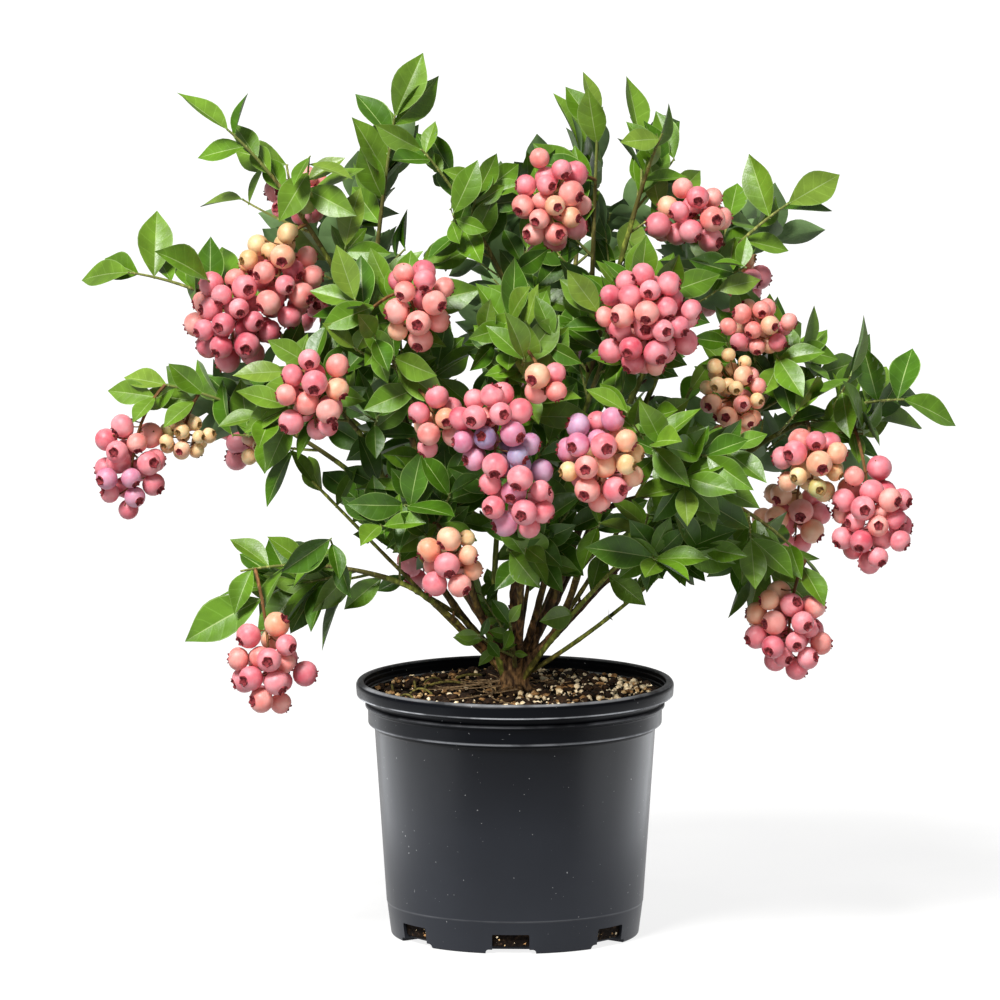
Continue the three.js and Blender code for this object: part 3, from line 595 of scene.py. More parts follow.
def pot_material(name, specular):
    """Charcoal plastic with faint scuffs, fine scratches, a few specks of dust, a painted sheen that
    makes it lighter towards the bottom, and edge lines of wear and painted highlight.
    """
    made, tree, shader = material(name, (0.012, 0.013, 0.015), 0.35, specular)
    specks = noise_node(tree, 420, 1)
    height = height_share(tree)
    # Painted sheen: the plastic's colour runs from lighter at the bottom to near black at the rim.
    plastic = ramp(tree, height, [(0.05, (0.029, 0.032, 0.04)), (0.45, (0.019, 0.0215, 0.028)),
                                  (0.8, (0.0035, 0.0043, 0.0064))])
    haze = ramp(tree, noise_node(tree, 9, 4), [(0.3, grey(0.75)), (0.7, grey(1))])
    dust = ramp(tree, specks, [(0.772, grey(0)), (0.81, grey(0.3))])
    dust_and_sheen = mixed(tree, "ADD", 1, mixed(tree, "MULTIPLY", 1, plastic, haze), dust)
    # Pale lines of wear and painted highlight go over the colour along the pot's edges.
    highlighted = mixed(tree, "MIX", wear_and_painted_highlights(tree, height), dust_and_sheen, (0.6, 0.62, 0.66, 1))
    tree.links.new(highlighted, shader.inputs["Base Color"])
    rough_between(tree, shader, noise_node(tree, 60, 8, stretch=(1, 1, 0.2)), 0.28, 0.42)
    bump(tree, shader, noise_node(tree, 1600, 3), 0.08, 0.3)
    return made


# The pot's edge lines of wear and painted highlight: the height of each and how bright it is, and half
# a line's width where it is full and where it ends. The last is the height that the lines' colour ramp
# and the painted sheen's ramp span.
WEAR_AND_HIGHLIGHT_LINES = [(24.8, 0.12), (161.2, 0.62), (175.4, 0.4), (182.9, 1.0), (192.6, 0.6)]
LINE_CORE = 0.25
LINE_WIDTH = 0.7
PAINTED_REACH = 200


def height_share(tree):
    """The height of a place as a share of the height that the painted sheen and edge lines span."""
    height = node(tree, "SeparateXYZ", "Z", {"Vector": node(tree, "TexCoord", "Object", {})})
    return node(tree, "Math", "Value", {0: height, 1: PAINTED_REACH * MM}, operation="DIVIDE")


def wear_and_painted_highlights(tree, height):
    """Thin lines of wear and painted highlight along the pot's edges, broken up by noise."""
    stops = []
    for middle, brightness in WEAR_AND_HIGHLIGHT_LINES:
        for shift, value in ((-LINE_WIDTH, 0), (-LINE_CORE, brightness), (LINE_CORE, brightness), (LINE_WIDTH, 0)):
            stops.append(((middle + shift) / PAINTED_REACH, grey(value)))
    lines = ramp(tree, height, stops)
    broken = ramp(tree, noise_node(tree, 26, 6), [(0.38, grey(0.2)), (0.56, grey(1))])
    return node(tree, "Math", "Value", {0: lines, 1: broken}, operation="MULTIPLY")


def soil_material():
    """Damp peat, near black between its crumbs."""
    made, tree, shader = material("potting_mix", (0.03, 0.018, 0.01), 0.95, 0.15)
    crumbs = noise_node(tree, 330, 6)
    coloured(tree, shader, crumbs, [(0.35, (0.004, 0.0025, 0.002)), (0.58, (0.016, 0.009, 0.005)),
                                    (0.74, (0.08, 0.044, 0.022))])
    bump(tree, shader, crumbs, 0.9, 2.0)
    return made


def grainy_material(name, dark, light, roughness):
    """A dull grain that is dark in some places and light in others."""
    made, tree, shader = material(name, light, roughness, 0.2)
    grain = noise_node(tree, 500, 5)
    coloured(tree, shader, grain, [(0.35, dark), (0.65, light)])
    bump(tree, shader, grain, 0.5, 0.4)
    return made


# Base colours: the leaves' greens from inside to rim, the berries', and the bark's cracks and
# ridges from an old cane to a young one.
# The darker leaf greens, used inside the bush, are painted shade; the lighter ones at the rim are younger
# leaves.
LEAF_GREENS = {
    "deep": (0.056, 0.15, 0.005),
    "mid": (0.108, 0.232, 0.011),
    "bright": (0.14, 0.265, 0.02),
    "young": (0.185, 0.3, 0.032),
}
BERRY_COLOURS = {
    "pink": (0.85, 0.235, 0.285),
    "deep": (0.72, 0.13, 0.19),
    "salmon": (0.9, 0.33, 0.275),
    "peach": (0.92, 0.5, 0.27),
    "cream": (0.86, 0.66, 0.27),
    "green": (0.5, 0.5, 0.1),
    "mauve": (0.66, 0.24, 0.4),
    "lilac": (0.53, 0.31, 0.52),
    "blue": (0.29, 0.26, 0.48),
}
BARK_STEPS = [
    ((0.022, 0.009, 0.003), (0.34, 0.19, 0.078)),
    ((0.018, 0.008, 0.002), (0.19, 0.095, 0.03)),
    ((0.026, 0.015, 0.003), (0.17, 0.11, 0.024)),
    ((0.045, 0.042, 0.005), (0.22, 0.2, 0.032)),
    ((0.075, 0.1, 0.01), (0.28, 0.33, 0.05)),
]


# ---------------------------------------------------------------- pot


def rounded(profile):
    """A profile whose corners with a radius are rounded: each row is (radius, height, fillet)."""
    points = [np.array(row[:2], float) for row in profile]
    out = [points[0]]
    for before, here, row, after in zip(points, points[1:], profile[1:], points[2:]):
        fillet = row[2]
        if fillet == 0:
            out.append(here)
            continue
        reach = min(fillet, 0.45 * np.linalg.norm(before - here), 0.45 * np.linalg.norm(after - here))
        start = here + unit(before - here) * reach
        end = here + unit(after - here) * reach
        for t in np.linspace(0, 1, 6):
            out.append(start * (1 - t) ** 2 + here * 2 * t * (1 - t) + end * t * t)
    return np.array(out + [points[-1]])


def pot_inside():
    """The inside of the pot from its floor to its rim: radius, height, fillet."""
    return [
        (POT["foot_radius"] - POT["wall"], POT["floor"], 3),
        (POT["body_top"] - POT["wall"], POT["collar_foot"] - 3, 3),
        (POT["collar_radius"] - POT["wall"], POT["collar_foot"] + 4, 3),
        (POT["mouth_radius"] - 1.6, POT["height"] - 8, 0.3),
        (POT["mouth_radius"] - 0.9, POT["height"] - 7.6, 0.3),
        (POT["mouth_radius"] - 0.8, POT["height"] - 4.4, 0.3),
        (POT["mouth_radius"], POT["height"] - 4, 0.3),
        (POT["mouth_radius"], POT["height"], 1.6),
    ]


def pot_profile():
    """The pot's whole profile, up its outside and down its inside."""
    lip_foot = POT["height"] - POT["lip_depth"]
    collar = POT["collar_radius"]
    outside = [
        (0, 0, 0),
        (POT["foot_radius"] - 12, 0, 0.5),
        (POT["foot_radius"] - 1.5, 0, 1.5),
        (POT["foot_radius"] + 1.6, 24, 0.5),
        (POT["foot_radius"] + 2.0, 25, 0.5),
        (POT["body_top"], POT["collar_foot"] - 3, 1.2),
        (collar - 0.2, POT["collar_foot"], 0.9),
        (collar, lip_foot - 9.5, 1),
        (collar + 2, lip_foot - 8.4, 0.8),
        (collar + 2, lip_foot - 6.6, 0.8),
        (collar, lip_foot - 5, 1),
        (collar, lip_foot - 0.5, 1),
        (POT["lip_radius"] - 0.6, lip_foot, 0.9),
        (POT["lip_radius"], POT["height"] - 2.6, 1.8),
        (POT["lip_radius"] - 1.8, POT["height"], 1.3),
    ]
    return rounded(outside + pot_inside()[::-1] + [(0, POT["floor"], 0)])


def lathe_mesh(name, profile, sides, shift=None):
    """A closed mesh turned round Z from a profile that starts and ends on the axis."""
    turn = FULL_TURN * np.arange(sides) / sides
    rings = profile[1:-1]
    points = np.stack([rings[:, :1] * np.cos(turn), rings[:, :1] * np.sin(turn),
                       np.broadcast_to(rings[:, 1:], (len(rings), sides))], -1).reshape(-1, 3)
    if shift is not None:
        points = shift(points)
    ends = [(0, 0, profile[0][1]), (0, 0, profile[-1][1])]
    points = np.vstack([points, ends]) * MM
    quads = grid_faces(len(rings), sides)
    caps = np.stack(cap_faces(len(rings), sides, len(points)), 1).reshape(-1, 3)
    mesh = bpy.data.meshes.new(name)
    mesh.from_pydata(points.tolist(), [], quads.tolist() + caps.tolist())
    mesh.update()
    return mesh


def block(name, size, middle, turn, edge):
    """A box with rounded edges, turned round Z, to cut with."""
    made = bmesh.new()
    bmesh.ops.create_cube(made, size=1)
    bmesh.ops.scale(made, vec=Vector(size) * MM, verts=made.verts)
    bmesh.ops.bevel(made, geom=made.edges[:], offset=edge * MM, segments=3, affect="EDGES", profile=0.5)
    bmesh.ops.translate(made, vec=Vector(middle) * MM, verts=made.verts)
    bmesh.ops.rotate(made, matrix=Matrix.Rotation(turn, 3, "Z"), verts=made.verts)
    mesh = bpy.data.meshes.new(name)
    made.to_mesh(mesh)
    made.free()
    return mesh


def cut(mesh, cutters):
    """The mesh with the cutters taken out of it."""
    scratch = placed("scratch", mesh)
    group = bpy.data.collections.new("cutters")
    bpy.context.scene.collection.children.link(group)
    for cutter in cutters:
        group.objects.link(bpy.data.objects.new(cutter.name, cutter))
    modifier = scratch.modifiers.new("cut", "BOOLEAN")
    modifier.operand_type = "COLLECTION"
    modifier.collection = group
    modifier.solver = "EXACT"
    made = applied(scratch)
    for cutter in list(group.objects):
        bpy.data.objects.remove(cutter)
    bpy.data.collections.remove(group)
    return made


def slot_turns():
    """The azimuth of each drainage slot."""
    return math.radians(SLOTS["first"]) + FULL_TURN * np.arange(SLOTS["count"]) / SLOTS["count"]


def make_pot():
    """The pot with its slots and the notches under them, its collar and rim in a duller plastic."""
    cutters = []
    for turn in slot_turns():
        size = (SLOTS["depth"], SLOTS["width"], SLOTS["top"])
        cutters.append(block("slot", size, (POT["foot_radius"], 0, SLOTS["top"] / 2), turn, 1.2))
        size = (SLOTS["notch_depth"], SLOTS["notch_width"], 2 * SLOTS["notch"])
        cutters.append(block("notch", size, (POT["foot_radius"], 0, 0), turn, 2.4))
    mesh = cut(lathe_mesh("pot_shell", pot_profile(), 160), cutters)
    for face in mesh.polygons:
        face.material_index = int(face.center.z > (POT["collar_foot"] - 1) * MM)
    finishes = [pot_material("pot_plastic", 0.14), pot_material("pot_rim", 0.07)]
    finished(mesh, "pot_shell", "pot", finishes, ["pot"], sharp=40)


# ---------------------------------------------------------------- potting mix


def soil_height(x, y):
    """The smooth height of the soil at a place: a low mound towards the crown."""
    reach = np.hypot(x, y) / (POT["mouth_radius"] - 4)
    return SOIL["edge"] + (SOIL["middle"] - SOIL["edge"]) * np.clip(1.15 - reach, 0, 1)


def make_soil():
    """The potting mix: plain against the pot, crumbly on top and behind the slots."""
    edge = POT["collar_radius"] - POT["wall"] + 2.2
    low = POT["foot_radius"] - POT["wall"] - 0.6
    profile = [(0, POT["floor"] + 0.4)]
    profile += [(share * low, POT["floor"] + 0.4) for share in (0.5, 0.9, 1)]
    profile += [(low + 0.09 * z, POT["floor"] + z) for z in np.arange(1.5, 17, 1.5)]
    profile += [(radius - 0.8, height) for radius, height, _ in pot_inside()[1:3]]
    profile += [(edge, SOIL["edge"] - 1)]
    profile += [(share * edge, SOIL["edge"]) for share in np.linspace(1, 0.02, 56)]
    profile += [(0, SOIL["middle"])]

    def crumbled(points):
        reach = np.hypot(points[:, 0], points[:, 1])
        top = points[:, 2] >= SOIL["edge"]
        flat = soil_height(points[:, 0], points[:, 1])
        coarse, fine = wobble(points, 13, 3.0), wobble(points, 4, 7.0)
        lumps = 1.9 * coarse + 1.5 * np.abs(fine)
        calm = np.clip((edge - reach) / 3, 0, 1)
        points[:, 2] = np.where(top, flat - 1.2 + lumps * calm, points[:, 2])
        behind = (points[:, 2] < POT["floor"] + 17) & (reach > low - 1)
        pushed = 1 - np.where(behind, 0.02 * np.abs(fine), 0)
        points[:, :2] *= pushed[:, None]
        return points

    mesh = lathe_mesh("soil", np.array(profile), 190, crumbled)
    finished(mesh, "soil", "soil", [soil_material()], ["potting_mix"], sharp=180)


def crumb(rng, size, flatness):
    """A rough stone or chip: a deformed icosahedron, as points and faces."""
    made = bmesh.new()
    bmesh.ops.create_icosphere(made, subdivisions=1, radius=1)
    points = np.array([v.co for v in made.verts])
    faces = np.array([[v.index for v in face.verts] for face in made.faces])
    made.free()
    points *= rng.uniform(0.72, 1.2, (len(points), 1))
    points *= np.array([1, rng.uniform(0.55, 0.9), flatness]) * size
    turn = Matrix.Rotation(rng.uniform(0, FULL_TURN), 3, "Z")
    tilt = Matrix.Rotation(rng.uniform(-0.5, 0.5), 3, "X")
    return points @ np.array(turn @ tilt).T, faces


def scatter(pile, rng, count, sizes, flatness, spread, finish=0):
    """Crumbs sunk a little into the soil, where spread puts each."""
    for _ in range(count):
        x, y = spread(rng)
        size = rng.uniform(*sizes)
        points, faces = crumb(rng, size, flatness)
        rise = soil_height(x, y) + 0.25 * size * flatness + rng.uniform(-0.4, 0.6)
        pile.add(points + (x, y, rise), (faces, finish))


def on_soil(rng):
    """A place on the soil."""
    reach = (POT["mouth_radius"] - 8) * math.sqrt(rng.uniform(0.02, 1))
    turn = rng.uniform(0, FULL_TURN)
    return reach * math.cos(turn), reach * math.sin(turn)


def on_right(rng):
    """A place on the soil, more often right of the crown than left of it."""
    x, y = on_soil(rng)
    return (abs(x), y) if rng.uniform() < 0.72 else (x, y)


def make_litter():
    """Chips of bark and grains of perlite on the soil and in the slots."""
    rng = np.random.default_rng(7)
    bark = [grainy_material("chip_dark", (0.006, 0.0035, 0.002), (0.04, 0.02, 0.01), 0.9),
            grainy_material("chip_tan", (0.13, 0.065, 0.025), (0.42, 0.24, 0.1), 0.85)]
    chips = Pile("bark_chips", "soil", bark)
    scatter(chips, rng, 420, (2, 6), 0.5, on_soil, 0)
    scatter(chips, rng, 190, (1.4, 4.6), 0.5, on_soil, 1)
    pale = [grainy_material("perlite", (0.6, 0.46, 0.27), (0.97, 0.86, 0.64), 0.9),
            grainy_material("perlite_tan", (0.35, 0.22, 0.1), (0.6, 0.43, 0.22), 0.9)]
    grains = Pile("perlite_grains", "soil", pale)
    scatter(grains, rng, 190, (1.1, 3.4), 0.85, on_right, 0)
    scatter(grains, rng, 420, (0.5, 1.3), 0.8, on_right, 0)
    scatter(grains, rng, 240, (0.6, 2.4), 0.8, on_soil, 1)
    at_slots(chips, grains, rng)
    chips.make()
    grains.make()


def at_slots(chips, grains, rng):
    """Crumbs that show through the drainage slots."""
    for turn in slot_turns():
        for k in range(26):
            aside = rng.uniform(-0.44, 0.44) * SLOTS["width"]
            reach = POT["foot_radius"] - POT["wall"] - 2.0
            x = reach * math.cos(turn) - aside * math.sin(turn)
            y = reach * math.sin(turn) + aside * math.cos(turn)
            pile = chips if k % 2 else grains
            points, faces = crumb(rng, rng.uniform(0.8, 2.0), 0.8)
            rise = rng.uniform(POT["floor"] + 1, SLOTS["top"] - 1)
            pile.add(points + (x, y, rise), (faces, k // 2 % 2))


# How many surface roots there are, how many of those run to the left, and how many dry twigs lie
# there, no further out than TWIG_REACH.
ROOTS = 20
ROOTS_LEFT = 9
DRY_TWIGS = 8
TWIG_REACH = 100


def make_roots():
    """Fine surface roots that run out from the crown over the soil, and dry twigs on it."""
    pale = grainy_material("root", (0.09, 0.055, 0.026), (0.26, 0.18, 0.1), 0.8)
    mossy = grainy_material("twig_bit", (0.03, 0.024, 0.006), (0.16, 0.14, 0.035), 0.85)
    roots = Pile("surface_roots", "soil", [pale, mossy])
    rng = np.random.default_rng(21)
    for k in range(ROOTS):
        turn = rng.uniform(0, FULL_TURN) if k >= ROOTS_LEFT else math.radians(rng.uniform(140, 260))
        near, far = rng.uniform(8, 30), rng.uniform(38, 92)
        bend = turn + rng.uniform(-0.9, 0.9)
        knots = []
        for share, angle in zip(np.linspace(0, 1, 5), np.linspace(turn, bend, 5)):
            reach = near + (far - near) * share
            x = reach * math.cos(angle) + rng.uniform(-8, 8)
            y = reach * math.sin(angle) + rng.uniform(-8, 8)
            knots.append((x, y, soil_height(x, y) + 1.2 + rng.uniform(-0.8, 4)))
        knots[0] = (*knots[0][:2], knots[0][2] + 2)
        radius = rng.uniform(0.35, 0.9)
        steps = np.linspace(0, 1, 16)
        tube(roots, Curve(*knots), steps, radius * (1 - 0.6 * steps), 5)
    lay_twigs(roots, rng)
    roots.make()


def lay_twigs(roots, rng):
    """Dry twigs that lie on the soil."""
    for _ in range(DRY_TWIGS):
        turn = math.radians(rng.uniform(120, 260))
        reach = rng.uniform(40, 95)
        x, y = reach * math.cos(turn), reach * math.sin(turn)
        way = rng.uniform(0, FULL_TURN)
        size = rng.uniform(8, 18)
        step = np.array((size * math.cos(way), size * math.sin(way), 0))
        middle = np.array((x, y, soil_height(x, y) + 2.5))
        if max(np.linalg.norm((middle + side * step)[:2]) for side in (-1, 1)) > TWIG_REACH:
            continue
        knots = (middle - step, middle + UP * rng.uniform(0, 9), middle + step)
        tube(roots, Curve(*knots), np.linspace(0, 1, 10), np.full(10, rng.uniform(0.6, 1.2)), 7, 1)


# ---------------------------------------------------------------- boughs and their spaces


class Bough:
    """One bough: the line of its limb, and the stem that its mass grows from."""

    def __init__(self, seed, row):
        self.seed = seed
        self.name, self.origin, thick, foot, tip = row
        self.thick = GIRTH * thick
        self.foot, self.tip = np.array(foot, float), np.array(tip, float)
        bend = (self.foot + self.tip) / 2
        bend[2] += STEM_ARCH * np.linalg.norm(self.tip - self.foot)
        self.arrival = unit(bend - self.foot)
        self.stem = Curve(self.foot + JOINT_GAP * self.arrival, bend, self.tip)
        self.line = None
        self.habit = FULL_MASS
        if self.name in OPEN_MASSES:
            self.habit = OPEN_MASS
        elif self.name in HALF_OPEN_MASSES:
            self.habit = HALF_OPEN_MASS
        elif self.origin is None:
            self.habit = SPRIG

    def radius(self, t):
        return self.thick + (LIMB_TIP - self.thick) * np.power(t, LIMB_TAPER)


boughs = {row[0]: Bough(k + 1, row) for k, row in enumerate(BOUGHS)}
limbs = [bough for bough in boughs.values() if bough.origin]


def crown_start(azimuth, elevation):
    """Where a cane starts inside the crown, and its heading there."""
    a, e = math.radians(azimuth), math.radians(elevation)
    leaving = np.array((math.cos(e) * math.cos(a), math.cos(e) * math.sin(a), math.sin(e)))
    spread = np.array((CROWN["stretch"] * CROWN["head_radius"], CROWN["head_radius"], CROWN["rise"]))
    return leaving * spread * CANE_ROOT + UP * CROWN["head_height"], leaving


def line_of(bough):
    """The line of a bough, from inside what carries it to the foot of its mass."""
    if bough.line is not None:
        return bough.line
    base, place = bough.origin
    if isinstance(base, str):
        carrier = line_of(boughs[base])
        start = carrier.at(place)
        leaving = unit(FORK_DRIFT * carrier.heading(place) + unit(bough.foot - start))
    else:
        start, leaving = crown_start(base, place)
    length = np.linalg.norm(bough.foot - start)
    first = start + LINE_START * length * leaving
    second = bough.foot - LINE_END * length * bough.arrival
    bough.line = Curve(start, first, second, bough.foot)
    return bough.line


def space_bones():
    """Segments in each mass's own space, along its stem and at its clusters: ends, swell, owner."""
    bones = []
    for number, bough in enumerate(boughs.values()):
        stem = bough.stem.at(np.linspace(0, 1, 5))
        bones += [(a, b, 0, number) for a, b in zip(stem, stem[1:])]
        for name, middle, wide, tall, *_ in CLUSTERS:
            if name == bough.name:
                spot = np.array(middle, float)
                bones.append((spot, spot + 1e-6, CLUSTER_SPACE * min(wide, tall), number))
    return [np.array(part) for part in zip(*bones)]


bone_starts, bone_ends, bone_swells, bone_owners = space_bones()
limb_places = np.concatenate([line_of(b).at(np.linspace(0, 1, LIMB_SAMPLES + 1)) for b in limbs])
limb_radii = np.concatenate([b.radius(np.linspace(0, 1, LIMB_SAMPLES + 1)) for b in limbs])
sky_middles, sky_spans = np.array(SKY, float)[:, :2], np.array(SKY, float)[:, 2:]
cluster_middles = np.array([row[1] for row in CLUSTERS], float)
cluster_spans = np.array([(row[2], row[2], row[3]) for row in CLUSTERS], float)


def in_own_space(bough, points, slack):
    """Whether each point is nearer to its own mass's bones than to any other's, by the slack."""
    along = bone_ends - bone_starts
    size = (along * along).sum(1)
    share = ((points[:, None] - bone_starts) * along).sum(2) / size
    close = bone_starts + np.clip(share, 0, 1)[..., None] * along
    away = np.linalg.norm(points[:, None] - close, axis=2) - bone_swells
    own = bone_owners == bough.seed - 1
    return away[:, ~own].min(1) > away[:, own].min(1) + slack


def above_soil(points):
    """Whether each point is clear of the pot and of the soil in it."""
    reach = np.hypot(points[:, 0], points[:, 1])
    inside = reach < POT["mouth_radius"] - POT_ROOM
    over_soil = points[:, 2] > SOIL["middle"] + POT_ROOM
    clear = (reach > POT["lip_radius"] + POT_ROOM) | (points[:, 2] > POT["height"] + POT_ROOM)
    return np.where(inside, over_soil, clear)


def clear_of_wood(points):
    """Whether each point is clear of the limbs and of the crown."""
    away = np.linalg.norm(points[:, None] - limb_places, axis=2)
    beside = (away > limb_radii + LIMB_ROOM).all(1)
    reach = np.hypot(points[:, 0] / CROWN["stretch"], points[:, 1])
    return beside & ((points[:, 2] > CROWN["top"] + 2) | (reach > CROWN["head_radius"] + 3))


def clear_of_clusters(points):
    """Whether each point is outside every cluster of berries."""
    share = (points[:, None] - cluster_middles) / cluster_spans
    return (np.linalg.norm(share, axis=2) > 1).all(1)


def clear_of_sky(points):
    """Whether each point is clear of the open stretches, as the bush is seen from the front."""
    up = math.cos(VIEW_ELEVATION) * points[:, 2] + math.sin(VIEW_ELEVATION) * points[:, 1]
    share = (np.stack([points[:, 0], up], 1)[:, None] - sky_middles) / sky_spans
    return (np.linalg.norm(share, axis=2) > 1).all(1)


def in_reach(points):
    """Whether points keep to the box of the solids, but for a little growth."""
    low, high = (np.array(corner) / MM for corner in cad_box)
    return (points > low - BOX_GROWTH).all() and (points < high + BOX_GROWTH).all()


def fits(bough, points, slack):
    """Whether all points may belong to a bough's mass, its own space being asked for with a slack."""
    return (in_reach(points) and above_soil(points).all() and clear_of_wood(points).all()
            and (slack is None or in_own_space(bough, points, slack).all()))


# ---------------------------------------------------------------- leaves

# Shares of a leaf's length. Two close rows of points hold each pair of side veins, and one row lies
# between two pairs.
VEINS = np.linspace(0.12, 0.79, 5)
VEIN_WIDTH = 0.012
VEIN_SLANT = 0.17
BETWEEN = (VEINS[:-1] + VEINS[1:] + VEIN_WIDTH) / 2
STATIONS = np.sort(np.concatenate([(0, 0.05), VEINS, VEINS + VEIN_WIDTH, BETWEEN, (0.91, 1)]))
# Places across a leaf, shares of its half width: the margin, the blade and the midrib of each side.
RIB = 0.032
BLADE = 0.5
MARGIN = 0.94
ACROSS = np.array((-1.0, -MARGIN, -BLADE, -RIB, RIB, BLADE, MARGIN, 1.0))
# Relief, as shares of a leaf's length: how the blade puckers up between its side veins and dips at
# them, how the midrib dips above, and how its keel stands out below.
PUCKER = 0.009
VEIN_DIP = 0.005
RIB_DIP = 0.008
KEEL = 0.02


def leaf_outline(u):
    """Half the width of an elliptic leaf at each share of its length, the widest place being 1."""
    u = np.clip(u, 0, 1)
    return np.power(np.sin(math.pi * u ** 1.05), 0.9) * (1 - 0.4 * np.clip(2.5 * u - 1.5, 0, 1) ** 2)


class Leaf:
    """A leaf on its twig: root, heading, the way its face looks, length, and how it curls."""

    def __init__(self, root, heading, face, length, curl, fold, twist):
        self.root, self.heading, self.face = root, heading, face
        self.length, self.curl, self.fold, self.twist = length, curl, fold, twist
        self.share, self.order = 0.0, 0
        self.across = np.cross(heading, face)
        self.middle = root + 0.5 * length * heading

    def place(self, along, aside, rise):
        """Points of the leaf from its own coordinates, in shares of its length."""
        spread = (along[..., None] * self.heading + aside[..., None] * self.across
                  + rise[..., None] * self.face)
        return self.root + self.length * spread

    def bent(self, u, v):
        """Own coordinates of the blade at share u along and v across, -1 to 1."""
        aside = 0.5 * LEAF_WIDTH * leaf_outline(u) * v
        rise = self.fold * np.abs(aside) - self.curl * u * u + 0.12 * self.curl * u
        turn = self.twist * u
        return u + 0 * v, aside * np.cos(turn), rise + aside * np.sin(turn)

    def samples(self):
        u, v = np.meshgrid((0.12, 0.3, 0.5, 0.75, 1.0), (-1, 0, 1), indexing="ij")
        return self.place(*self.bent(u, v)).reshape(-1, 3)


def leaf_points(leaf):
    """The upper face of a leaf, furrowed by its side veins, and the line of its midrib below."""
    u = STATIONS[:, None]
    along = u + VEIN_SLANT * np.abs(ACROSS) * np.sin(math.pi * u)
    pucker = np.where(np.isin(STATIONS, BETWEEN), PUCKER, -VEIN_DIP)[:, None]
    relief = np.where(np.abs(ACROSS) == RIB, -RIB_DIP, np.where(np.abs(ACROSS) == BLADE, pucker, 0))
    a, b, c = leaf.bent(along, ACROSS[None])
    upper = leaf.place(a, b, c + relief * np.sin(math.pi * u))
    a, b, c = leaf.bent(u, np.zeros((1, 1)))
    keel = leaf.place(a, b, c - KEEL * np.sin(math.pi * u))
    return upper.reshape(-1, 3), keel.reshape(-1, 3)


ROWS, COLUMNS = len(STATIONS), len(ACROSS)
leaf_strip = np.tile(np.arange(COLUMNS - 1), ROWS - 1)
leaf_row = np.repeat(np.arange(ROWS - 1), COLUMNS - 1)
on_margin = (leaf_strip == 0) | (leaf_strip == COLUMNS - 2)
on_rib = leaf_strip == COLUMNS // 2 - 1
on_vein = np.isin(STATIONS, VEINS)[leaf_row]
upper_quads = grid_faces(ROWS, COLUMNS, closed=False)


def under_quads():
    """The faces of a leaf's lower sheet, from one margin to the keel and on to the other margin."""
    index = np.arange(ROWS * COLUMNS).reshape(ROWS, COLUMNS)
    keel = ROWS * COLUMNS + np.arange(ROWS)
    kept = np.stack([index[:, 0], keel, index[:, -1]], 1)
    return kept.ravel()[grid_faces(ROWS, 3, closed=False)][:, [0, 3, 2, 1]]


lower_quads = under_quads()
SKIN, UNDERSIDE, RIB_FINISH, VEIN_FINISH, MARGIN_HIGHLIGHT_FINISH = range(5)
leaf_faces = np.vstack([upper_quads, lower_quads])
# Faces along a leaf's edge get a paler green, a painted highlight.
upper_finish = np.select([on_margin, on_rib, on_vein], [MARGIN_HIGHLIGHT_FINISH, RIB_FINISH, VEIN_FINISH], SKIN)
leaf_finish = np.concatenate([upper_finish, np.full(len(lower_quads), UNDERSIDE)])


def add_leaf(pile, leaf):
    """Adds a leaf's blade and the short stalk that it stands on."""
    pile.add(np.vstack(leaf_points(leaf)), (leaf_faces, leaf_finish))
    stalk = Curve(leaf.root - 1.5 * leaf.heading, leaf.root + 0.06 * leaf.length * leaf.heading)
    tube(pile, stalk, np.array((0.0, 1.0)), (0.75, 0.4), 3, RIB_FINISH)


def first_that_fits(make, allowed):
    """The first of a few tries that is allowed, each turned on and shorter than the last, or None."""
    for attempt in range(TRIES):
        made = make(attempt * GOLDEN_ANGLE, SHORTEN ** attempt)
        if allowed(made):
            return made
    return None


leaf_middles = []


def leaf_allowed(bough, leaf, slack):
    """Whether a leaf is clear of the others, the fruit and the open sky, and fits its mass."""
    if leaf_middles:
        away = np.linalg.norm(np.array(leaf_middles) - leaf.middle, axis=1)
        if away.min() < LEAF_ROOM * leaf.length:
            return False
    samples = leaf.samples()
    clear = clear_of_clusters(samples).all() and clear_of_sky(samples).all()
    return clear and fits(bough, samples, slack)


def outlook(place):
    """Where a leaf at a place looks for light: up, and away from the bush's middle plane."""
    across, deep = place[0] / OUTLOOK["width"], (place[1] - OUTLOOK["plane"]) / OUTLOOK["depth"]
    return unit(OUTLOOK["up"] * UP + unit(np.array((across, deep, 0)) + 1e-3))


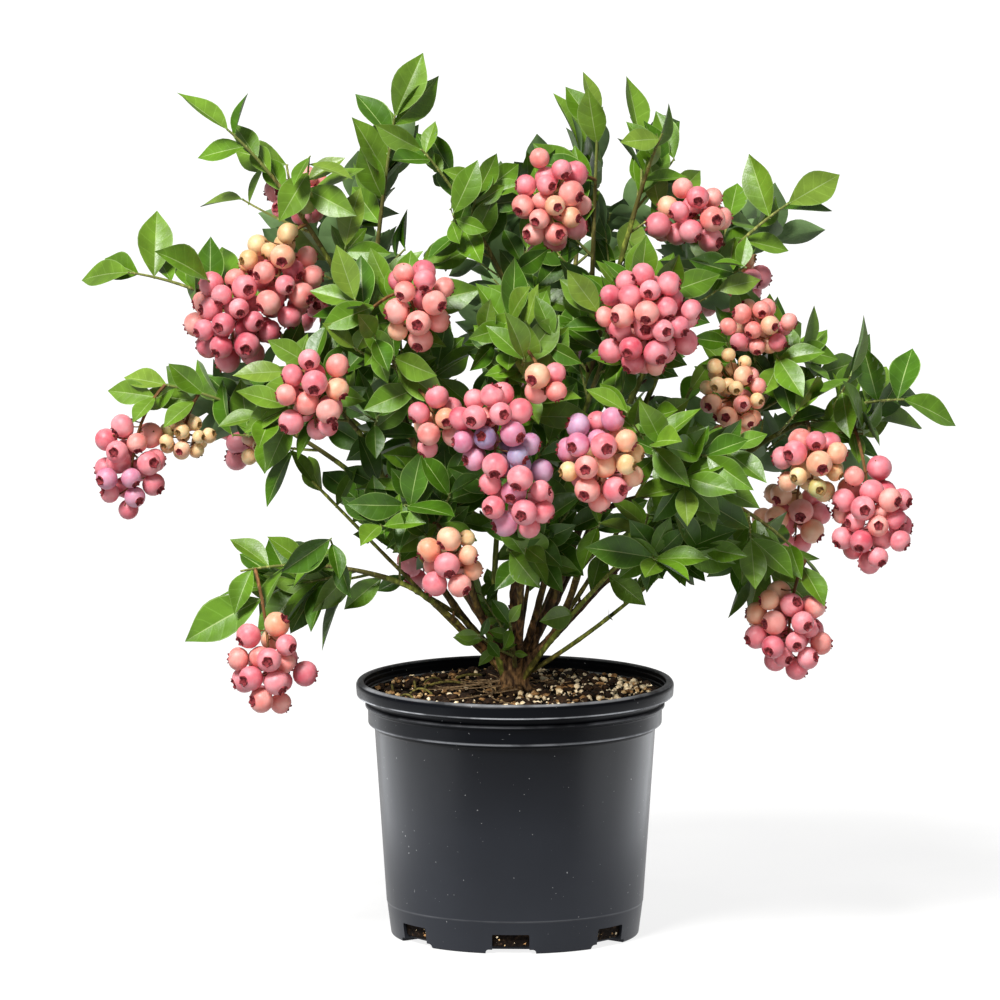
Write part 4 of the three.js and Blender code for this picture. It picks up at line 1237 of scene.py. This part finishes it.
def leaves_on(bough, spray, slack):
    """Leaves set round a shoot from its tip down, each turned by the golden angle from the last."""
    leaves = []
    seed, index = bough.seed, spray.index
    setting = AIRY if bough.habit in (OPEN_MASS, HALF_OPEN_MASS) else DENSE
    for j in range(spray.count):
        end = j == 0
        t = 0.99 if end else 1 - spray.reach * (j / (spray.count - 0.5)) ** 1.25
        heading = spray.line.heading(t)
        root = spray.line.at(t)
        turn = j * GOLDEN_ANGLE + FULL_TURN * chance(seed, index, 0, 3)
        lean = setting["lean"] if end else 0.8 + 0.4 * chance(seed, index, j, 4)
        share = setting["end"] if end else 0.6 + 0.46 * chance(seed, index, j, 5)
        size = spray.scale * LEAF_LENGTH * share
        size *= setting["first"] if j < FIRST_LEAVES else setting["rest"]
        roll = math.radians(setting["roll"]) * (2 * chance(seed, index, j, 8) - 1)
        curl = 0.02 + 0.22 * chance(seed, index, j, 9)
        fold = 0.14 + 0.36 * chance(seed, index, j, 10)
        twist = 0.5 * (2 * chance(seed, index, j, 11) - 1)
        look = outlook(root)

        def make(more, shrink):
            way = slanted(heading, lean, turn + more)
            way = unit(way - setting["flatness"] * np.dot(way, look) * look)
            face = unit(look - way * np.dot(look, way))
            return Leaf(root, way, turned(face, way, roll), shrink * size, curl, fold, twist)

        leaf = first_that_fits(make, lambda one: leaf_allowed(bough, one, slack))
        if leaf:
            leaf.share, leaf.order = t, j
            leaves.append(leaf)
            leaf_middles.append(leaf.middle)
    return leaves


# ---------------------------------------------------------------- shoots


def shoot_on(bough, carrier, index, t, full_length, spread, slack):
    """A side shoot leaves its carrier at a slant and bends upwards."""
    base = carrier.at(t)
    turn = index * GOLDEN_ANGLE + FULL_TURN * chance(bough.seed, 0, 0, 1)

    def make(more, share):
        way = slanted(carrier.heading(t), spread, turn + more)
        way = unit(way + SHOOT_LIFT * UP)
        length = share * full_length
        end = base + length * way + SHOOT_BEND * length * UP
        return Curve(base, base + 0.5 * length * way, end)

    def allowed(shoot):
        return fits(bough, shoot.at(np.linspace(0, 1, 9)[1:]), slack)

    return first_that_fits(make, allowed)


def shoots_of(bough):
    """The shoots of a mass as (index, curve, leaves): the main ones, then finer ones near its foot."""
    main, fine, zone, _ = bough.habit.values()
    found = []
    for index in range(1, main + 1):
        t = 0.04 + zone * (index - 0.5) / main
        length = SHOOT_LENGTH * (1 - SHOOT_SHRINK * t) * (0.75 + 0.5 * chance(bough.seed, index, 0, 2))
        shoot = shoot_on(bough, bough.stem, index, t, length, SHOOT_SPREAD, MASS_GAP)
        found.append((index, shoot, SHOOT_LEAVES[index - 1]))
    for k in range(fine):
        index = main + 1 + k
        t = (0.3 + 0.3 * k) * zone
        length = 0.7 * SHOOT_LENGTH * (1 - 0.5 * t) * (0.75 + 0.5 * chance(bough.seed, index, 0, 2))
        shoot = shoot_on(bough, bough.stem, index, t, length, SHOOT_SPREAD, 0)
        found.append((index, shoot, FINE_LEAVES))
    return [row for row in found if row[1] is not None]


def twig_of(bough, index, shoot):
    """The number of a main shoot's twig and its line, which is None where no twig fits."""
    number = 10 * index + 1
    length = TWIG_LENGTH * (0.8 + 0.5 * chance(bough.seed, number, 0, 2))
    return number, shoot_on(bough, shoot, number, 0.5, length, TWIG_SPREAD, -STRAY)


def spurs_of(bough):
    """Short leafy shoots on the upper part of a limb, which fill the inside of the bush."""
    line = line_of(bough)
    count = int(line.length() / SPUR_STEP)
    for k in range(count):
        t = (k + 0.5) / count
        if t < SPUR_FOOT or line.at(t)[2] < SPUR_HEIGHT:
            continue
        index = 200 + k
        length = 16 + 34 * chance(bough.seed, index, 0, 2)
        spur = shoot_on(bough, line, index, t, length, SPUR_SPREAD, None)
        if spur is not None:
            yield index, spur


# ---------------------------------------------------------------- berries

BERRY_SIDES = 18
# The berry's profile from its stalk end to the floor of its cup: radius, height, how far the five
# lobes swing, and whether that ring still has the skin's colour.
BERRY_PROFILE = [
    (0.16, -0.93, 0, 1), (0.45, -0.85, 0, 1), (0.72, -0.66, 0, 1), (0.91, -0.36, 0, 1),
    (0.995, 0.0, 0, 1), (0.94, 0.34, 0, 1), (0.78, 0.62, 0, 1), (0.58, 0.79, 0, 1),
    (0.42, 0.84, 0.3, 1), (0.43, 0.9, 1.1, 0), (0.37, 0.93, 1.4, 0), (0.3, 0.84, 0.5, 0),
    (0.26, 0.74, 0, 0), (0.1, 0.72, 0, 0),
]


def berry_template():
    """A berry of radius 1 that looks up: its points, faces and end faces, and which of them are cup."""
    turn = FULL_TURN * np.arange(BERRY_SIDES) / BERRY_SIDES
    lobes = np.cos(5 * turn)
    rings = []
    for radius, height, swing, _ in BERRY_PROFILE:
        reach = radius * (1 + 0.12 * swing * lobes)
        rise = height + 0.07 * swing * lobes
        rings.append(np.stack([reach * np.cos(turn), reach * np.sin(turn), rise], 1))
    points = np.vstack(rings + [np.array([(0, 0, -0.94), (0, 0, 0.74)])])
    quads = grid_faces(len(rings), BERRY_SIDES)
    skins = np.array([row[3] for row in BERRY_PROFILE])
    quad_cup = np.repeat(1 - skins[1:], BERRY_SIDES)
    caps = np.vstack(cap_faces(len(rings), BERRY_SIDES, len(points)))
    cap_cup = np.repeat((0, 1), BERRY_SIDES)
    return points, quads, quad_cup, caps, cap_cup


berry_points, berry_quads, berry_quad_cup, berry_caps, berry_cap_cup = berry_template()


def add_berry(pile, place, out, radius, squash, spin):
    """A berry whose cup looks out."""
    first = turned(sideways(out), out, spin)
    second = np.cross(out, first)
    shape = berry_points * (1, 1, squash) * radius
    points = place + shape[:, :1] * first + shape[:, 1:2] * second + shape[:, 2:] * out
    pile.add(points, (berry_quads, berry_quad_cup), (berry_caps, berry_cap_cup))


def pick(mix, share):
    """The name that a share from 0 to 1 falls on in a weighted mix."""
    total = sum(mix.values())
    for name, weight in mix.items():
        share -= weight / total
        if share < 0:
            return name
    return name


def nudged(places, radii, closeness=1.0):
    """Places after one step of pushing apart those berries that overlap."""
    gap = places[:, None] - places[None]
    away = np.linalg.norm(gap, axis=2) + np.eye(len(places)) * 1e3
    push = np.clip(closeness * (radii[:, None] + radii) - away, 0, None) / away
    return places + 0.4 * (gap * push[..., None]).sum(1)


def pack_berries(rng, spans, radius):
    """Places and radii of berries that fill an ellipsoid, pushed apart until they only touch."""
    volume = 4 / 3 * math.pi * spans.prod()
    count = max(4, round(PACKING * volume / (4 / 3 * math.pi * radius ** 3)))
    radii = radius * rng.uniform(0.84, 1.1, count)
    room = spans - 0.8 * radius
    places = unit(rng.normal(size=(count, 3))) * rng.uniform(0.4, 1, (count, 1)) * room
    for _ in range(PACK_STEPS):
        places = nudged(places, radii, 0.99)
        out = np.linalg.norm(places / room, axis=1)
        places = places / np.maximum(out, 1)[:, None]
    return places, radii


def pushed_apart(places, radii, stalks):
    """Places of all the berries, moved a little so that they only touch each other and no stalk."""
    berries = np.arange(len(places))
    for _ in range(SETTLE_STEPS):
        places = nudged(places, radii)
        off = places[:, None] - stalks
        nearest = np.linalg.norm(off, axis=2).argmin(1)
        off = off[berries, nearest]
        short = np.clip(radii + STALK_ROOM - np.linalg.norm(off, axis=1), 0, None)
        places = places + 0.7 * unit(off) * short[:, None]
    return places


def free_heading(out, k, places, radii):
    """A berry's heading, turned where its cup would run into a neighbour."""
    for _ in range(CUP_TURNS):
        off = places[k] + out * radii[k] - places
        room = np.linalg.norm(off, axis=1) - radii
        room[k] = np.inf
        tightest = room.argmin()
        if room[tightest] > CUP_ROOM * radii[k]:
            break
        out = unit(out + 0.35 * unit(off[tightest]))
    return out


def misses_berries(points, k, places, radii):
    """Whether points lie clear of every berry but the one they lead to."""
    room = np.linalg.norm(points[:, None] - places, axis=2) - radii
    room[:, k] = np.inf
    return room.min() > 0.3


def berries_of(number, row):
    """The berries of a cluster: place, cup heading, radius, colour, and where each is stalked."""
    _, middle, wide, tall, high, low, radius = row
    rng = np.random.default_rng(100 + number)
    spans = np.array((wide, CLUSTER_DEPTH * wide, tall), float)
    places, radii = pack_berries(rng, spans, radius)
    middle = np.array(middle, float)
    for place, size in zip(places, radii):
        mix = BERRY_MIXES[high if place[2] - 0.5 * place[0] > 0.22 * tall else low]
        colour = pick(mix, rng.uniform())
        if colour in UNRIPE:
            size = size * UNRIPE_SIZE
        held = np.array((0, 0, np.clip(place[2] + 0.12 * tall, -0.6 * tall, 0.8 * tall)))
        out = unit(place - held + rng.normal(scale=0.6 * radius, size=3) - 0.1 * radius * UP)
        yield middle + place, out, size, colour, middle + held


# ---------------------------------------------------------------- wood


def bark_relief(t, length, sides, seed):
    """Ridges that wander round a cane, and a knuckle at each old bud."""
    turn = FULL_TURN * np.arange(sides) / sides
    s = (t * length)[:, None]
    rings = (len(t), sides)
    ridges = 0.045 * np.sin(3 * turn + 0.05 * s + seed) + 0.03 * np.sin(5 * turn - 0.09 * s + 2 * seed)
    spots = [np.broadcast_to(part, rings) for part in (s, 6 * np.cos(turn), 6 * np.sin(turn))]
    grain = 0.09 * wobble(np.stack(spots, -1), 5, seed).reshape(rings)
    knuckle = np.zeros(rings)
    for k in range(int(length / BUD_STEP)):
        here = FIRST_BUD + BUD_STEP * k + 9 * chance(seed, k, 0, 20)
        side = k * GOLDEN_ANGLE + seed
        near = np.exp(-(((s - here) / 3.2) ** 2))
        knuckle += near * (0.1 + 0.24 * np.clip(np.cos(turn - side), 0, 1) ** 2)
    return ridges + grain + knuckle


def bark_finish(bough, t):
    """Which bark each stretch of a cane has: brown at its foot, olive and green higher up."""
    age = 4.4 * t + 0.9 * chance(bough.seed, 0, 0, 21)
    if isinstance(bough.origin[0], str):
        age = age + 1.3
    ragged = np.array([chance(bough.seed, k, 0, 22) for k in range(len(t) - 1)]) - 0.5
    return np.clip(np.round(age[:-1] + 0.5 * ragged), 0, len(BARK_STEPS) - 1).astype(int)


def make_canes(barks):
    """The limbs of all boughs, with the bark's relief and dead stubs."""
    canes = Pile("canes", "wood", barks)
    for bough in limbs:
        line = line_of(bough)
        length = line.length()
        t = np.linspace(0, 1, int(length / CANE_STEP))
        relief = bark_relief(t, length, CANE_SIDES, bough.seed)
        tube(canes, line, t, bough.radius(t), CANE_SIDES, bark_finish(bough, t), relief)
        add_stubs(canes, bough, line, length)
    canes.make(["bough_" + bough.name for bough in limbs])


def make_suckers(barks):
    """Young thin canes from the crown, each from near its foot to where the leaves take it in."""
    suckers = Pile("suckers", "wood", barks)
    for number, (foot, knee, tip, radius, age, _) in enumerate(SUCKERS):
        line = Curve(foot, knee, tip)
        length = line.length()
        t = np.linspace(0, 1, int(length / CANE_STEP))
        relief = 0.7 * bark_relief(t, length, SUCKER_SIDES, 60 + number)
        steps = np.clip(np.round(age + 2.2 * t[:-1]), 0, len(barks) - 1).astype(int)
        tube(suckers, line, t, radius * (1 - 0.4 * t), SUCKER_SIDES, steps, relief)
    suckers.make()


def add_stubs(canes, bough, line, length):
    """Short dead spurs at some of a cane's old buds."""
    for k in range(1, int(length / STUB_STEP)):
        t = (FIRST_BUD + STUB_STEP * k) / length
        if t > 0.8 or chance(bough.seed, k, 0, 24) < 0.35:
            continue
        base = line.at(t)
        way = slanted(line.heading(t), math.radians(48), k * GOLDEN_ANGLE + bough.seed)
        reach = bough.radius(t) + 2 + 5 * chance(bough.seed, k, 0, 25)
        stub = Curve(base, base + 0.6 * reach * way, base + reach * unit(way + 0.3 * UP))
        tube(canes, stub, np.linspace(0, 1, 4), np.array((1.5, 1.3, 1.1, 0.5)), 6, 1)


def crown_feet():
    """The feet of the canes and the root flare, as plain tubes that run into each other."""
    feet = Pile("crown_feet", "wood", [])
    for bough in limbs:
        if isinstance(bough.origin[0], str):
            continue
        line = line_of(bough)
        start, _ = crown_start(*bough.origin)
        ground = np.array((0.26 * start[0], 0.3 * start[1], CROWN["foot"] - 5))
        below = ground + 0.55 * (start - ground) * (0.4, 0.4, 1)
        t_out = CROWN["collar"] / line.length()
        foot = Curve(ground, below, start)
        t = np.linspace(0, 1, 9)
        tube(feet, foot, t, 4 + 2.6 * (1 - t) ** 2, CANE_SIDES)
        collar = Curve(line.at(0), line.at(0.4 * t_out), line.at(t_out))
        tube(feet, collar, t, bough.thick * (1.25 - 0.4 * t), CANE_SIDES)
    for k in range(CROWN["roots"]):
        turn = FULL_TURN * k / CROWN["roots"] + 0.4
        way = np.array((math.cos(turn), math.sin(turn), 0))
        root = Curve(UP * (CROWN["foot"] + 6), UP * (CROWN["foot"] + 3) + 10 * way,
                     UP * (CROWN["foot"] - 4) + (CROWN["flare"] + 3) * way)
        t = np.linspace(0, 1, 8)
        tube(feet, root, t, 5 - 3 * t, 10)
    return feet.make()


def make_crown(barks):
    """The woody crown: the feet of the canes grown together over a root flare, with rough bark."""
    rough = crown_feet()
    remesh = rough.modifiers.new("grown together", "REMESH")
    remesh.mode = "VOXEL"
    remesh.voxel_size = 1.0 * MM
    smooth = rough.modifiers.new("softened", "SMOOTH")
    smooth.iterations = 4
    mesh = applied(rough)
    count = len(mesh.vertices)
    points, normals = np.zeros(3 * count), np.zeros(3 * count)
    mesh.vertices.foreach_get("co", points)
    mesh.vertices.foreach_get("normal", normals)
    points, normals = points.reshape(-1, 3) / MM, normals.reshape(-1, 3)
    stretched = points * (1, 1, 0.5)
    lift = 1.3 * wobble(points, 9, 1.0) + 0.7 * wobble(stretched, 3, 4.0)
    points = points + normals * lift[:, None]
    points[:, 2] = np.maximum(points[:, 2], CROWN["foot"] - 2.5)
    mesh.vertices.foreach_set("co", (points * MM).ravel())
    mesh.update()
    finished(mesh, "crown", "wood", [barks[0]], ["woody_crown"], sharp=180)


# ---------------------------------------------------------------- the masses


def make_masses():
    """Hangs the fruit, grows every mass and dresses the suckers, in greens that follow each spray."""
    stems = Pile("twigs", "wood", [
        bark_material("twig_olive", (0.12, 0.11, 0.022), (0.34, 0.31, 0.08), 0.2),
        bark_material("twig_green", (0.2, 0.25, 0.05), (0.46, 0.5, 0.13), 0.15),
        bark_material("fruit_stalk", (0.2, 0.09, 0.025), (0.42, 0.2, 0.07), 0.15),
    ])
    rib = leaf_material("leaf_rib", (0.3, 0.42, 0.13), 0.5)
    under = leaf_material("leaf_underside", (0.16, 0.27, 0.1), 0.6)
    # A paler green along each leaf's edge: a painted highlight.
    margin = leaf_material("leaf_margin", (0.21, 0.34, 0.075), 0.4)
    piles = {}
    for tone, colour in LEAF_GREENS.items():
        vein = leaf_material("leaf_vein_" + tone, tuple(1.2 * c + 0.007 for c in colour), 0.45)
        finishes = [leaf_material("leaf_" + tone, colour), under, rib, vein, margin]
        piles[tone] = Pile("leaves_" + tone, "foliage", finishes)
    hang_fruit(stems, piles)
    for bough in boughs.values():
        grow_mass(bough, stems, piles)
    for number, (foot, knee, tip, _, _, leaves) in enumerate(SUCKERS):
        spray = Spray(300 + number, Curve(foot, knee, tip), leaves, 0.72, 0.5, None)
        dress(boughs["base_sprig"], spray, stems, piles, None)
    names = ["mass_" + name for name in boughs]
    stems.make(names)
    for pile in piles.values():
        if pile.size:
            pile.make(names)


def grow_mass(bough, stems, piles):
    """One mass: its stem, shoots and twigs with their leaves, and the spurs on its limb."""
    inner = bough.origin is None
    scale = SPRIG_SCALE if inner else 1.0
    t = np.linspace(0, 1, 14)
    tube(stems, bough.stem, t, LIMB_TIP * (1 - 0.55 * t), 7, np.where(t[:-1] < 0.5, 0, 1))
    sprays = [Spray(0, bough.stem, bough.habit["leaves"], scale, 0.85, None)]
    for index, shoot, count in shoots_of(bough):
        sprays.append(Spray(index, shoot, count, scale, 0.72, (1.25, 0.7, 5)))
        if index > 2 or bough.habit is not FULL_MASS:
            continue
        number, twig = twig_of(bough, index, shoot)
        if twig is not None:
            sprays.append(Spray(number, twig, TWIG_LEAVES, 0.82, 0.6, (0.8, 0.5, 4)))
    for spray in sprays:
        dress(bough, spray, stems, piles, -STRAY)
    if inner:
        return
    for index, spur in spurs_of(bough):
        dress(bough, Spray(index, spur, SPUR_LEAVES, 0.86, 0.6, (1.1, 0.6, 5)), stems, piles, None)


class Spray:
    """A shoot with leaves: its number, line, count of leaves, their scale, how far down it they
    reach, and its wood, as the radius at its root and tip and its sides, if it has any of its own."""

    def __init__(self, index, line, count, scale, reach, wood):
        self.index, self.line, self.count = index, line, count
        self.scale, self.reach, self.wood = scale, reach, wood


def dress(bough, spray, stems, piles, slack):
    """Adds a spray's leaves, and its wood as far as the last of them."""
    leaves = leaves_on(bough, spray, slack)
    level = tone_of(bough, spray)
    tones = list(LEAF_GREENS)
    for leaf in leaves:
        draw = chance(bough.seed, spray.index, leaf.order, 31)
        step = (draw > 0.78) - (draw < 0.24) + (leaf.order == 0 and level > 0)
        add_leaf(piles[tones[int(np.clip(level + step, 0, len(tones) - 1))]], leaf)
    if leaves and spray.wood:
        root, tip, sides = spray.wood
        steps = np.linspace(0, max(leaf.share for leaf in leaves), 7)
        tube(stems, spray.line, steps, root + (tip - root) * steps, sides, 1)


def tone_of(bough, spray):
    """Which green a spray has, as a step in LEAF_GREENS: light at the bush's rim, where leaves are
    younger, and deep inside it, which is painted shade.
    """
    if bough.origin is None:
        return 1
    rim = np.linalg.norm((spray.line.at(1.0) - BUSH_MIDDLE) / BUSH_SPANS)
    share = rim + 0.4 * (chance(bough.seed, spray.index, 0, 30) - 0.5)
    return int(np.searchsorted(TONE_STEPS, share))


def leaves_at_stalk(leaves, number, stalk):
    """The leaves on a cluster's stalk, which start just above the fruit."""
    name = CLUSTERS[number][0]
    clear = [t for t in np.linspace(0.1, 0.8, 8) if clear_of_clusters(stalk.at(t)[None])[0]]
    if not clear:
        return
    root = stalk.at(max(0.1, clear[-1] - 0.14))
    for row, (mass, azimuth, slope, length) in enumerate(STALK_LEAVES):
        if mass != name:
            continue

        def make(more, share):
            angle = math.radians(azimuth) + 0.1 * more
            way = unit(np.array((math.cos(angle), math.sin(angle), -slope)))
            look = outlook(root)
            face = unit(look - way * np.dot(look, way))
            return Leaf(root, way, face, share * length, 0.12, 0.3, 0.2)

        leaf = first_that_fits(make, lambda one: leaf_allowed(boughs[name], one, None))
        if leaf:
            leaf_middles.append(leaf.middle)
            tone = "bright" if chance(row, 0, 0, 52) > 0.6 else "mid"
            add_leaf(leaves[tone], leaf)


def hang_stalk(stems, leaves, number, row):
    """Adds a cluster's stalk with the leaves on it, and gives points along it."""
    middle, tall = np.array(row[1], float), row[3]
    along = boughs[row[0]].stem.at(np.linspace(0.15, 1, 18))
    near = along[np.linalg.norm(along - middle, axis=1).argmin()]
    t = np.linspace(0, 1, 12)
    stalk = Curve(near, middle + 0.8 * tall * UP, middle - 0.5 * tall * UP)
    tube(stems, stalk, t, 1.5 - 0.6 * t, 6, 2)
    leaves_at_stalk(leaves, number, stalk)
    return stalk.at(np.linspace(0, 1, 26))


def hang_fruit(stems, leaves):
    """Every cluster: its stalk, then its berries, and the fine stalks of those that it reaches
    without cutting through others."""
    piles = {}
    ripe_cup = grainy_material("cup_ripe", (0.08, 0.007, 0.011), (0.36, 0.05, 0.06), 0.7)
    green_cup = grainy_material("cup_unripe", (0.1, 0.045, 0.012), (0.36, 0.21, 0.06), 0.7)
    for colour, value in BERRY_COLOURS.items():
        cup = green_cup if colour in UNRIPE else ripe_cup
        skin = berry_material("berry_" + colour, value)
        piles[colour] = Pile("berries_" + colour, "foliage", [skin, cup])
    fruit = [(number, *berry) for number, row in enumerate(CLUSTERS) for berry in berries_of(number, row)]
    stalks = [hang_stalk(stems, leaves, number, row) for number, row in enumerate(CLUSTERS)]
    radii = np.array([berry[3] for berry in fruit])
    along = np.array([stalks[berry[0]] for berry in fruit])
    places = pushed_apart(np.array([berry[1] for berry in fruit]), radii, along)
    for k, ((number, _, out, size, colour, held), place) in enumerate(zip(fruit, places)):
        spin = FULL_TURN * chance(number, k, 0, 40)
        out = free_heading(out, k, places, radii)
        add_berry(piles[colour], place, out, size, 0.93 + 0.06 * chance(number, k, 0, 41), spin)
        foot = place - 0.9 * size * out
        root = along[k][np.linalg.norm(along[k] - held, axis=1).argmin()]
        fine = Curve(root, 0.5 * (root + foot) - size * 0.15 * UP, foot)
        if misses_berries(fine.at(np.linspace(0.05, 0.9, 9)), k, places, radii):
            tube(stems, fine, np.linspace(0, 1, 4), np.array((0.55, 0.5, 0.55, 0.8)), 4, 2)
    for pile in piles.values():
        if pile.size:
            pile.make()


# ---------------------------------------------------------------- camera, light and floor

# In metres: how far off the camera is, what it looks at, and the width that it sees there.
VIEW_DISTANCE = 9.0
VIEW_TARGET = Vector((-0.0113, 0, 0.33))
VIEW_WIDTH = 0.7524
SENSOR = 36


def make_camera():
    """A long lens that looks slightly down on the front of the plant."""
    camera = bpy.data.cameras.new("camera")
    camera.sensor_width = SENSOR
    camera.lens = SENSOR * VIEW_DISTANCE / VIEW_WIDTH
    camera.clip_start, camera.clip_end = 0.1, 100
    holder = placed("camera", camera)
    back = Vector((0, -math.cos(VIEW_ELEVATION), math.sin(VIEW_ELEVATION)))
    holder.location = VIEW_TARGET + VIEW_DISTANCE * back
    holder.rotation_mode = "QUATERNION"
    holder.rotation_quaternion = (-back).to_track_quat("-Z", "Y")
    bpy.context.scene.camera = holder


def make_world():
    """A plain white sky, for soft light from all sides."""
    world = bpy.data.worlds.new("studio")
    world.use_nodes = True
    bpy.context.scene.world = world
    sky = world.node_tree.nodes["Background"]
    sky.inputs["Color"].default_value = (1, 1, 1, 1)
    sky.inputs["Strength"].default_value = 0.32


def aimed(name, light, place, target=(0, 0, 0)):
    """A lamp at a place in metres that points at its target."""
    lamp = placed(name, light)
    lamp.location = place
    lamp.rotation_mode = "QUATERNION"
    lamp.rotation_quaternion = (Vector(target) - Vector(place)).to_track_quat("-Z", "Y")
    return lamp


def lit_by(lamp, names):
    """Lets a lamp light only the pieces of these names."""
    group = bpy.data.collections.new(lamp.name + "_on")
    for name in names:
        group.objects.link(bpy.data.objects[name])
    lamp.light_linking.receiver_collection = group
    lamp.visible_camera = False


def make_lights():
    """A wide key from the upper front left, a panel at each side of the pot, and low lamps from the
    front for the wood, the litter on the soil and the fruit."""
    sun = bpy.data.lights.new("key", "SUN")
    sun.energy = 4.6
    sun.angle = math.radians(17)
    sun.color = (1, 0.985, 0.96)
    aimed("key", sun, (-0.32, -0.56, 0.78))
    for name, side, shift in (("panel_left", -1, 0.0), ("panel_right", 1, 0.09)):
        panel = bpy.data.lights.new(name, "AREA")
        panel.shape = "RECTANGLE"
        panel.size, panel.size_y = 0.66, 0.14
        panel.energy = 0.8
        panel.color = (0.93, 0.96, 1)
        lit_by(aimed(name, panel, (0.3 * side, shift, 0.045), (0, shift, 0.045)), ["pot_shell"])
    fruit = [piece.name for piece in bpy.data.objects if piece.name.startswith("berries_")]
    litter = ["perlite_grains", "bark_chips", "surface_roots"]
    lamps = (("low", 11, (-0.5, -1.2, 0.5), ["crown", "canes", "suckers"]),
             ("low_litter", 17, (-0.5, -1.2, 0.5), litter),
             ("low_fruit", 5, (0.35, -1.0, -0.05), fruit))
    for name, watts, place, pieces in lamps:
        low = bpy.data.lights.new(name, "AREA")
        low.size = 0.5
        low.energy = watts
        low.color = (1, 0.93, 0.82)
        lit_by(aimed(name, low, place, (0, 0, 0.22)), pieces)


def make_floor():
    """A wide pale floor that nearly glows white, so that it ends in no line."""
    mesh = bpy.data.meshes.new("floor")
    reach = 60
    corners = [(-reach, -reach, 0), (reach, -reach, 0), (reach, reach, 0), (-reach, reach, 0)]
    mesh.from_pydata(corners, [], [(0, 1, 2, 3)])
    made, _, shader = material("floor", (0.2, 0.2, 0.2), 0.9, 0.05)
    shader.inputs["Emission Color"].default_value = (1, 1, 1, 1)
    shader.inputs["Emission Strength"].default_value = 0.84
    mesh.materials.append(made)
    floor = placed("floor", mesh)
    floor.visible_diffuse = False


# ---------------------------------------------------------------- the scene

bpy.context.scene.view_settings.view_transform = "Standard"
make_camera()
make_world()
make_floor()

bark_finishes = [bark_material(f"bark_{k}", *colours, 0.7) for k, colours in enumerate(BARK_STEPS)]
make_pot()
make_soil()
make_litter()
make_roots()
make_crown(bark_finishes)
make_canes(bark_finishes)
make_suckers(bark_finishes)
make_masses()
make_lights()
